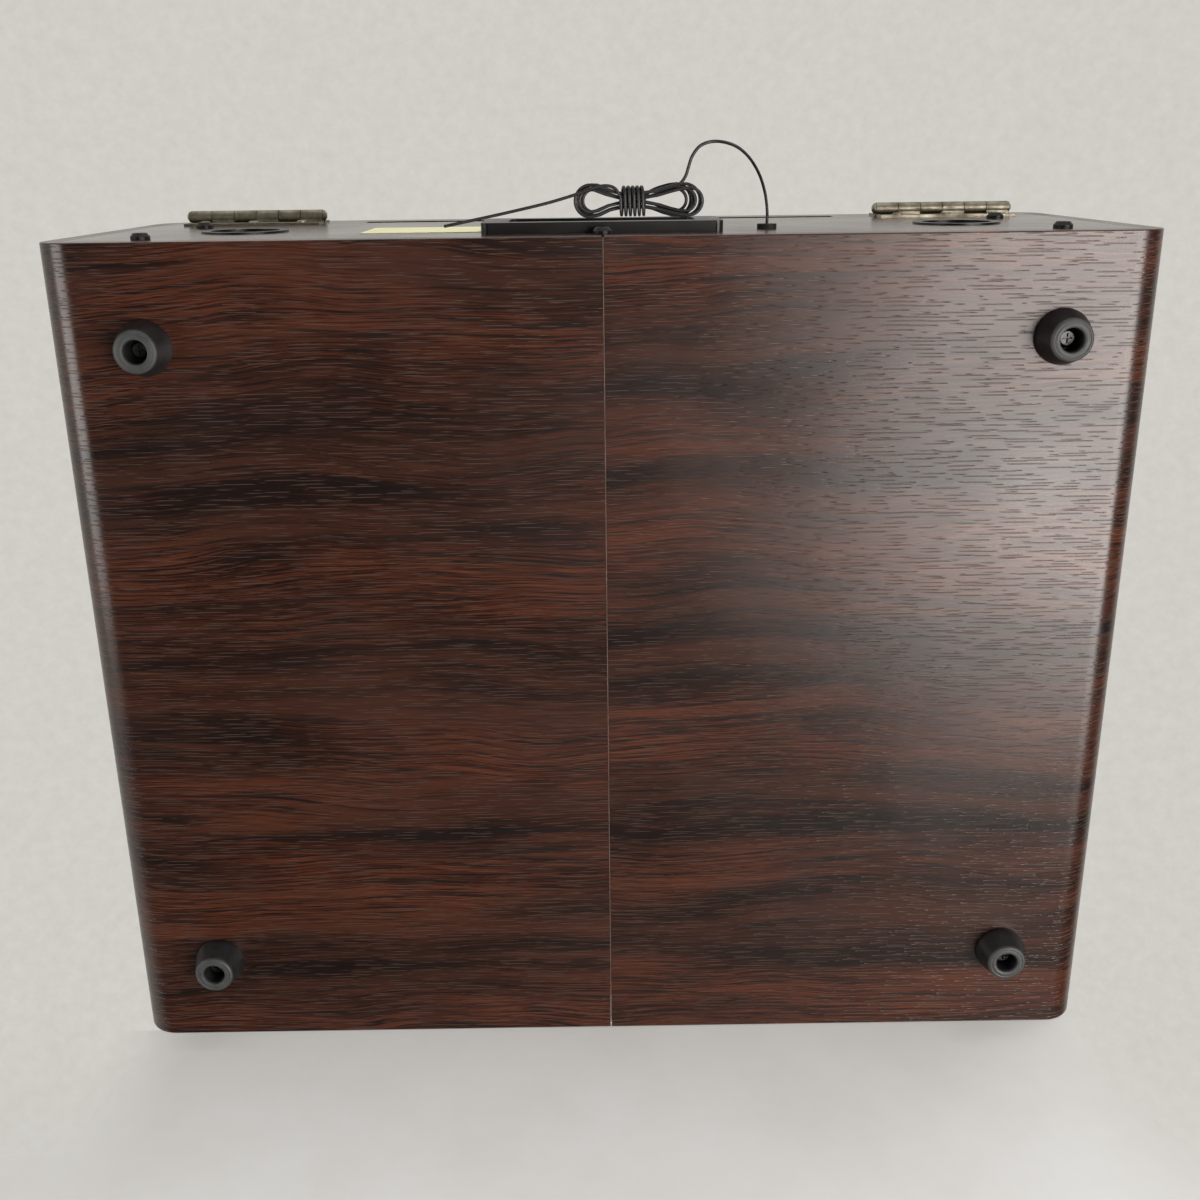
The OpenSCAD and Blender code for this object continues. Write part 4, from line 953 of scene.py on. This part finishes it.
# Feet: moulded cones with a worn ring underneath and a deep well for the screw; millimetres
footSet = {
    "sides": 56, "smooth": 32,
    "profile": [(10.6, 12.0), (11.0, 11.6), (11.0, 10.3), (10.75, 9.3), (8.55, 1.2), (8.3, 0.5), (7.8, 0.1),
                (7.3, 0.0), (7.0, 0.18), (6.75, 0.18), (6.45, 0.0), (5.5, 0.0), (4.95, 0.25), (4.6, 0.9),
                (4.5, 1.6), (4.5, 9.0), (1.85, 9.0), (1.85, 12.0), (10.6, 12.0)],
    "wornBelow": (0.0016, 0.0003), "worn": tone(56, 58, 58),
}


def makeFeetFinish(setUp):
    shader, where = startMaterial("footRubber")
    face = wornFace(where, 160.0, 2600.0, tone(18, 18, 19), tone(34, 34, 34))
    under = stretch(axesOf(where)[2], *setUp["wornBelow"])
    worn = times(under, stretch(face["smear"], 0.0, 1.0, 0.55, 1.0))
    spread = timesPlus(face["smear"], 0.12, 0.36)
    colour = blendColour(worn, face["colour"], setUp["worn"])
    showFinish(shader, colour, timesPlus(worn, 0.2, spread))
    addBump(face["speck"], 0.2, fineBump, shader)


def makeFeet(setUp):
    first = turned("rubberFoot", setUp["profile"], setUp["sides"])
    low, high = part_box("feet")
    reach = setUp["profile"][1][0] / 1000
    feet = []
    for x in (low.x + reach, high.x - reach):
        for y in (low.y + reach, high.y - reach):
            feet.append(putAt(copyOf(first, "rubberFoot"), (x, y, 0.0)))
    bpy.data.objects.remove(first)
    piece = settle(joinAll(feet, "rubberFeet"), setUp["smooth"])
    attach(piece, "base")
    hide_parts("feet")
    dress(piece, "footRubber")


makeFeetFinish(footSet)
makeFeet(footSet)
print("seam and feet made")


# Knobs: fluted grips with a groove behind; radius and depth in millimetres, from the back forwards
knobSet = {
    "sides": 72, "deep": 15.0, "smooth": 35,
    "profile": [(3.4, 0.3), (13.4, 0.3), (14.1, 0.9), (14.1, 2.5), (13.4, 3.0), (13.4, 3.7), (14.4, 4.3),
                (14.9, 5.0), (14.6, 13.2), (13.9, 14.2), (12.5, 14.7), (11.9, 14.5), (3.0, 14.1),
                (0.001, 14.05)],
    "flutes": (4.9, 13.3), "fluteEvery": 3, "fluteDepth": 0.95,
    "pointer": {"volume_knob": 135, "function_knob": 0, "tuning_knob": None},
    "bar": {"size": (1.4, 5.8, 0.6), "place": (0, 8.3, 14.45), "roundAbove": 14.6, "round": 0.2},
}


def makeKnob(setUp, name):
    piece = turned(name + "Grip", setUp["profile"], setUp["sides"])
    step = 2 * math.pi / setUp["sides"]
    low, high = (z / 1000 for z in setUp["flutes"])

    def inFlute(co):
        here = round(math.atan2(co.y, co.x) / step) % setUp["fluteEvery"] == 0
        return here and low < co.z < high

    pickPoints(piece, inFlute)
    deep = setUp["fluteDepth"]
    bpy.ops.transform.resize(value=(deep, deep, 1), center_override=(0, 0, 0))
    endEdit()
    dress(piece, slotOf[name])
    parts = [piece]
    turn = setUp["pointer"][name]
    if turn is not None:
        mark = setUp["bar"]
        bar = addBlock("knobBar", [v / 1000 for v in mark["size"]], [v / 1000 for v in mark["place"]])
        above = mark["roundAbove"] / 1000
        pickEdges(bar, lambda e, a, b: a.z > above and b.z > above)
        bpy.ops.mesh.bevel(offset=mark["round"] / 1000, segments=2, affect="EDGES")
        endEdit()
        putAt(bar, (0, 0, 0), (0, 0, turn))
        dress(bar, "ivoryMark")
        parts.append(bar)
    piece = joinAll(parts, name + "Grip")
    low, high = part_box(name)
    putAt(piece, ((low.x + high.x) / 2, low.y + setUp["deep"] / 1000, (low.z + high.z) / 2), (90, 0, 0))
    settle(piece, setUp["smooth"])
    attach(piece, name)
    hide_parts(name)


for knob in knobSet["pointer"]:
    makeKnob(knobSet, knob)
print("knobs made")


# Loudspeaker grilles: a rounded frame round a sheet with rows of holes; millimetres
grilleSet = {"side": 100.0, "corner": 8.0, "rim": 4.5, "rimRound": 0.7, "front": 0.2, "tuck": 8.0,
             "cells": 32, "web": 0.5, "cut": 0.55, "sheet": 0.8, "inset": 0.7, "sharp": 60}


def makeGrille(setUp):
    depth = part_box("speaker_grilles")[1].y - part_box("speaker_grilles")[0].y
    rim = startFrom(bpy.ops.mesh.primitive_plane_add, size=setUp["side"] / 1000)
    editAll(rim, "VERT")
    bpy.ops.mesh.bevel(offset=setUp["corner"] / 1000, segments=8, affect="VERTICES")
    setPick("FACE")
    bpy.ops.mesh.select_all(action="SELECT")
    bpy.ops.mesh.inset(thickness=setUp["rim"] / 1000)
    bpy.ops.mesh.delete(type="FACE")
    endEdit()
    addModifier(rim, "SOLIDIFY", thickness=depth, offset=-1.0)
    settle(rim)
    sharp = sharpEdges(rim.data, setUp["sharp"])
    front = -setUp["front"] / 1000
    pickEdges(rim, lambda e, a, b: e.key in sharp and a.z > front and b.z > front)
    bpy.ops.mesh.bevel(offset=setUp["rimRound"] / 1000, segments=3, affect="EDGES")
    endEdit()
    cells, size = setUp["cells"], (setUp["side"] - setUp["tuck"]) / 1000
    sheet = startFrom(bpy.ops.mesh.primitive_grid_add, x_subdivisions=cells, y_subdivisions=cells, size=size)
    editAll(sheet, "FACE")
    bpy.ops.mesh.inset(thickness=setUp["web"] / 1000, use_individual=True)
    setPick("VERT")
    bpy.ops.mesh.bevel(offset=setUp["cut"] / 1000, segments=1, affect="VERTICES")
    endEdit()
    pickFaces(sheet, lambda f: len(f.vertices) == 8)      # each cell's middle, its corners cut
    bpy.ops.mesh.delete(type="FACE")
    endEdit()
    addModifier(sheet, "SOLIDIFY", thickness=setUp["sheet"] / 1000, offset=-1.0)
    putAt(sheet, (0, 0, -setUp["inset"] / 1000))
    return joinAll([rim, sheet], "grille")


def placeGrilles(setUp):
    low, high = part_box("speaker_grilles")
    first = makeGrille(setUp)
    reach = setUp["side"] / 2000
    pair = []
    for x in (low.x + reach, high.x - reach):
        pair.append(putAt(copyOf(first, "grille"), (x, low.y, (low.z + high.z) / 2), (90, 0, 0)))
    bpy.data.objects.remove(first)
    piece = settle(joinAll(pair, "speakerGrilles"))
    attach(piece, "base")
    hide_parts("speaker_grilles")
    dress(piece, slotOf["speaker_grilles"])
    print("grilles made, faces:", len(piece.data.polygons))


placeGrilles(grilleSet)


# Platter mat: rubber with raised rings; millimetres from the spindle
matSet = {"hole": 3.7, "rings": (20.0, 34.0, 48.0, 62.0, 76.0, 90.0, 104.0), "ringWidth": 7.5, "slope": 0.4,
          "groove": 0.45, "rim": 0.6, "rimFall": 0.5, "foot": (0.3, 0.2), "sides": 128, "smooth": 25}


def makeMat(setUp):
    low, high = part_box("platter_mat")
    outer = (high.x - low.x) * 500
    thick = (high.z - low.z) * 1000
    groove = thick - setUp["groove"]
    slope, wide = setUp["slope"], setUp["ringWidth"]
    footIn, footUp = setUp["foot"]
    line = [(setUp["hole"], 0.0), (setUp["hole"], groove)]
    for r in setUp["rings"]:
        line += [(r, groove), (r + slope, thick), (r + wide, thick), (r + wide + slope, groove)]
    line += [(outer - setUp["rim"], groove), (outer, groove - setUp["rimFall"]), (outer, footUp),
             (outer - footIn, 0.0), (setUp["hole"], 0.0)]
    piece = turned("ringedMat", line, setUp["sides"])
    putAt(piece, ((low.x + high.x) / 2, (low.y + high.y) / 2, low.z))
    settle(piece, setUp["smooth"])
    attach(piece, "platter")
    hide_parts("platter_mat")
    dress(piece, "matRubber")


makeMat(matSet)


# Dial: two rows of marks with plain numbers on the scale plate; millimetres from the middle of the window
dialSet = {
    "rows": [
        {"z": 7.5, "way": -1, "numbers": ["88", "92", "96", "100", "104", "108"]},
        {"z": -7.5, "way": 1, "numbers": ["54", "60", "70", "90", "120", "160"]},
    ],
    "half": 60.0, "steps": 20, "longEvery": 4, "longTick": (0.45, 3.2), "shortTick": (0.3, 2.0),
    "ruleOver": 3, "ruleTall": 0.35, "letter": 5.2, "numberDrop": 4.5, "thick": 0.08, "round": 0.02,
    "behindGlass": 9.0, "smooth": 20,
}


def markBar(setUp, width, tall):
    bar = addBlock("markBar", (width / 1000, setUp["thick"] / 1000, tall / 1000))
    pickEdges(bar, lambda e, a, b: a.y < 0 and b.y < 0)
    bpy.ops.mesh.bevel(offset=setUp["round"] / 1000, segments=1, affect="EDGES")
    endEdit()
    return bar


def makeNumber(setUp, number):
    word = startFrom(bpy.ops.object.text_add).data
    word.body = number
    word.size = setUp["letter"] / 1000
    word.align_x = "CENTER"
    word.align_y = "CENTER"
    word.extrude = setUp["thick"] / 2000
    word.resolution_u = 3
    bpy.ops.object.convert(target="MESH")
    return bpy.context.active_object


def makeDialMarks(setUp):
    glassLow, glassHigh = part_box("dial_glass")
    midZ = (glassLow.z + glassHigh.z) / 2
    faceY = glassLow.y + setUp["behindGlass"] / 1000 - setUp["thick"] / 2000
    made = []

    def placeAt(i, steps):
        return (-setUp["half"] + 2 * setUp["half"] * i / steps) / 1000

    longTick, shortTick = markBar(setUp, *setUp["longTick"]), markBar(setUp, *setUp["shortTick"])
    rule = markBar(setUp, setUp["half"] * 2 + setUp["ruleOver"], setUp["ruleTall"])
    for row in setUp["rows"]:
        z = midZ + row["z"] / 1000
        made.append(putAt(copyOf(rule, "rule"), (0, faceY, z)))
        for i in range(setUp["steps"] + 1):
            main = i % setUp["longEvery"] == 0
            tall = setUp["longTick" if main else "shortTick"][1]
            tick = copyOf(longTick if main else shortTick, "tick")
            made.append(putAt(tick, (placeAt(i, setUp["steps"]), faceY, z + row["way"] * tall / 2000)))
        numberZ = z - row["way"] * setUp["numberDrop"] / 1000
        for i, number in enumerate(row["numbers"]):
            x = placeAt(i, len(row["numbers"]) - 1)
            made.append(putAt(makeNumber(setUp, number), (x, faceY, numberZ), (90, 0, 0)))
    for pattern in (longTick, shortTick, rule):
        bpy.data.objects.remove(pattern)
    piece = settle(joinAll(made, "dialMarks"), setUp["smooth"])
    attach(piece, "base")
    dress(piece, "inkMark")


makeDialMarks(dialSet)
print("dial marked")


# Stage: a table under the feet, and the floor that the case lies on in the photograph;
# each shows from one side only

stageSet = {
    "pale": tone(236, 235, 232), "shade": tone(226, 224, 219), "glow": 0.42, "evenFrom": 0.4, "gap": 0.0004,
    "tableGlow": 0.84, "tableFade": (0.9, 1.8), "tableSize": (5.0, 5.0),
    "floorGlow": 0.7, "floorFade": (0.6, 1.1), "floorSize": (2.6, 1.3), "floorAbove": 0.003,
    "sweepFrom": (-0.16, 0.0), "sideFade": (0.19, 0.24),
}


def makeStageMaterial(name, plane):
    made = bpy.data.materials.new(name)
    made.use_nodes = True
    bench["tree"] = made.node_tree
    made.node_tree.nodes.clear()
    out = node("ShaderNodeOutputMaterial")
    where = node("ShaderNodeTexCoord").outputs["Object"]
    mottle = stretch(cloud(where, 9.0, 5.0, 0.7), 0.3, 0.7)
    colour = blendColour(mottle, stageSet["pale"], stageSet["shade"])
    soft = node("ShaderNodeBsdfDiffuse")
    glow = node("ShaderNodeEmission")
    for face in (soft, glow):
        link(colour, face.inputs["Color"])
    glow.inputs["Strength"].default_value = stageSet[plane + "Glow"]
    parts = axesOf(where)
    a, b = parts[0], parts[1 if plane == "table" else 2]
    reach = radiusOf(a, b)
    fadeFrom, fadeTo = stageSet[plane + "Fade"]
    fade = stretch(reach, fadeFrom, fadeTo)
    share = stretch(reach, stageSet["evenFrom"], fadeFrom, stageSet["glow"], 1.0)
    lit = mixShaders(share, soft.outputs[0], glow.outputs[0])
    if plane == "floor":      # past the case's sides the floor sweeps up into the pale room
        beside = stretch(sizeOf(a), *stageSet["sideFade"], way="SMOOTHSTEP")
        edge = times(stretch(b, *stageSet["sweepFrom"]), beside)
        fade = sums("MAXIMUM", fade, edge)
    gone = sums("MAXIMUM", fade, node("ShaderNodeNewGeometry").outputs["Backfacing"])
    clear = node("ShaderNodeBsdfTransparent")
    link(mixShaders(gone, lit, clear.outputs[0]), out.inputs["Surface"])
    return made


def addStage(name, size, place, turn, material):
    plane = startFrom(bpy.ops.mesh.primitive_plane_add, size=1.0)
    plane.name = name
    plane.scale = (size[0], size[1], 1.0)
    putAt(plane, place, turn)
    plane.data.materials.append(material)
    plane.visible_diffuse = False
    plane.visible_glossy = False
    plane.visible_transmission = False
    plane.visible_shadow = False


floorZ = underZ + stageSet["floorAbove"] - stageSet["floorSize"][1] / 2
addStage("table", stageSet["tableSize"], (0, 0, -stageSet["gap"]), (0, 0, 0),
         makeStageMaterial("tableFace", "table"))
addStage("photoFloor", stageSet["floorSize"], (0, frontY - stageSet["gap"], floorZ), (-90, 0, 0),
         makeStageMaterial("floorFace", "floor"))


# World: the pale room for what is looked at and mirrored, softer light for the rest

worldSet = {
    "pale": tone(212, 210, 204), "mottle": tone(203, 200, 193), "soft": (1.0, 0.99, 0.97, 1.0), "light": 0.28,
    "tilt": 0.38, "rise": (-0.35, 0.15), "lowMirror": 0.05,
    "bandTilt": -0.5, "band": (-0.88, -0.72), "bandBelow": (-0.5, -0.7), "floorMirror": 0.6,
}


def background(colour, strength):
    return fedByLabel(node("ShaderNodeBackground"), {"Color": colour, "Strength": strength})[0]


def makeWorld(setUp):
    world = bpy.data.worlds.new("studio")
    scene.world = world
    world.use_nodes = True
    bench["tree"] = world.node_tree
    world.node_tree.nodes.clear()
    out = node("ShaderNodeOutputWorld")
    path = node("ShaderNodeLightPath").outputs
    way = node("ShaderNodeTexCoord").outputs["Generated"]
    parts = axesOf(way)
    x, z = parts[0], parts[2]
    tilt = timesPlus(x, setUp["tilt"], z)
    rise = stretch(tilt, *setUp["rise"], setUp["lowMirror"], 1.0)      # darker room below, paler to one side
    aslant = timesPlus(x, setUp["bandTilt"], z)
    band = stretch(aslant, *setUp["band"], 0.0, setUp["floorMirror"])      # the floor, as the case mirrors it
    band = times(band, stretch(z, *setUp["bandBelow"]))
    mirrored = background(setUp["pale"], sums("MAXIMUM", rise, band))
    mottle = stretch(cloud(way, 130.0, 4.0, 0.7), 0.25, 0.75)
    seen = background(blendColour(mottle, setUp["pale"], setUp["mottle"]), 1.0)
    soft = background(setUp["soft"], setUp["light"])
    glossy = sums("MAXIMUM", path["Is Glossy Ray"], path["Is Transmission Ray"])
    unseen = mixShaders(glossy, soft, mirrored)
    link(mixShaders(path["Is Camera Ray"], unseen, seen), out.inputs["Surface"])


makeWorld(worldSet)


# Lamps: place, aim, two sides, watts, tint, whether glossy faces mirror it
lampSets = {
    "windowLamp": ((-0.9, -0.06, -1.2), (0.0, 0.02, 0.0), (1.0, 1.0), 35.0, (1.0, 0.94, 0.9), True),
    "edgeLamp": ((1.25, -0.03, -0.7), (0.21, 0.1, 0.015), (0.6, 0.7), 7.0, (1.0, 0.97, 0.94), True),
    "upperLamp": ((0.0, -0.62, 1.7), (0.0, 0.0, 0.08), (1.0, 1.0), 28.0, (1.0, 1.0, 1.0), True),
    "rearLamp": ((-0.4, 1.7, 0.34), (0.0, 0.0, 0.06), (1.6, 0.9), 24.0, (1.0, 1.0, 1.0), False),
    "hingeLamp": ((-0.4, 1.6, -0.14), (0.0, 0.18, 0.08), (1.6, 0.5), 3.0, (1.0, 1.0, 1.0), True),
}


def addLamp(name):
    place, aim, sides, watts, tint, mirrored = lampSets[name]
    data = bpy.data.lights.new(name, "AREA")
    data.shape = "RECTANGLE"
    data.size, data.size_y = sides
    data.energy = watts
    data.color = tint
    lamp = bpy.data.objects.new(name, data)
    scene.collection.objects.link(lamp)
    lamp.visible_glossy = mirrored
    lamp.location = place
    lamp.rotation_euler = (Vector(aim) - Vector(place)).to_track_quat("-Z", "Y").to_euler()


for name in lampSets:
    addLamp(name)
print("stage and lamps set")
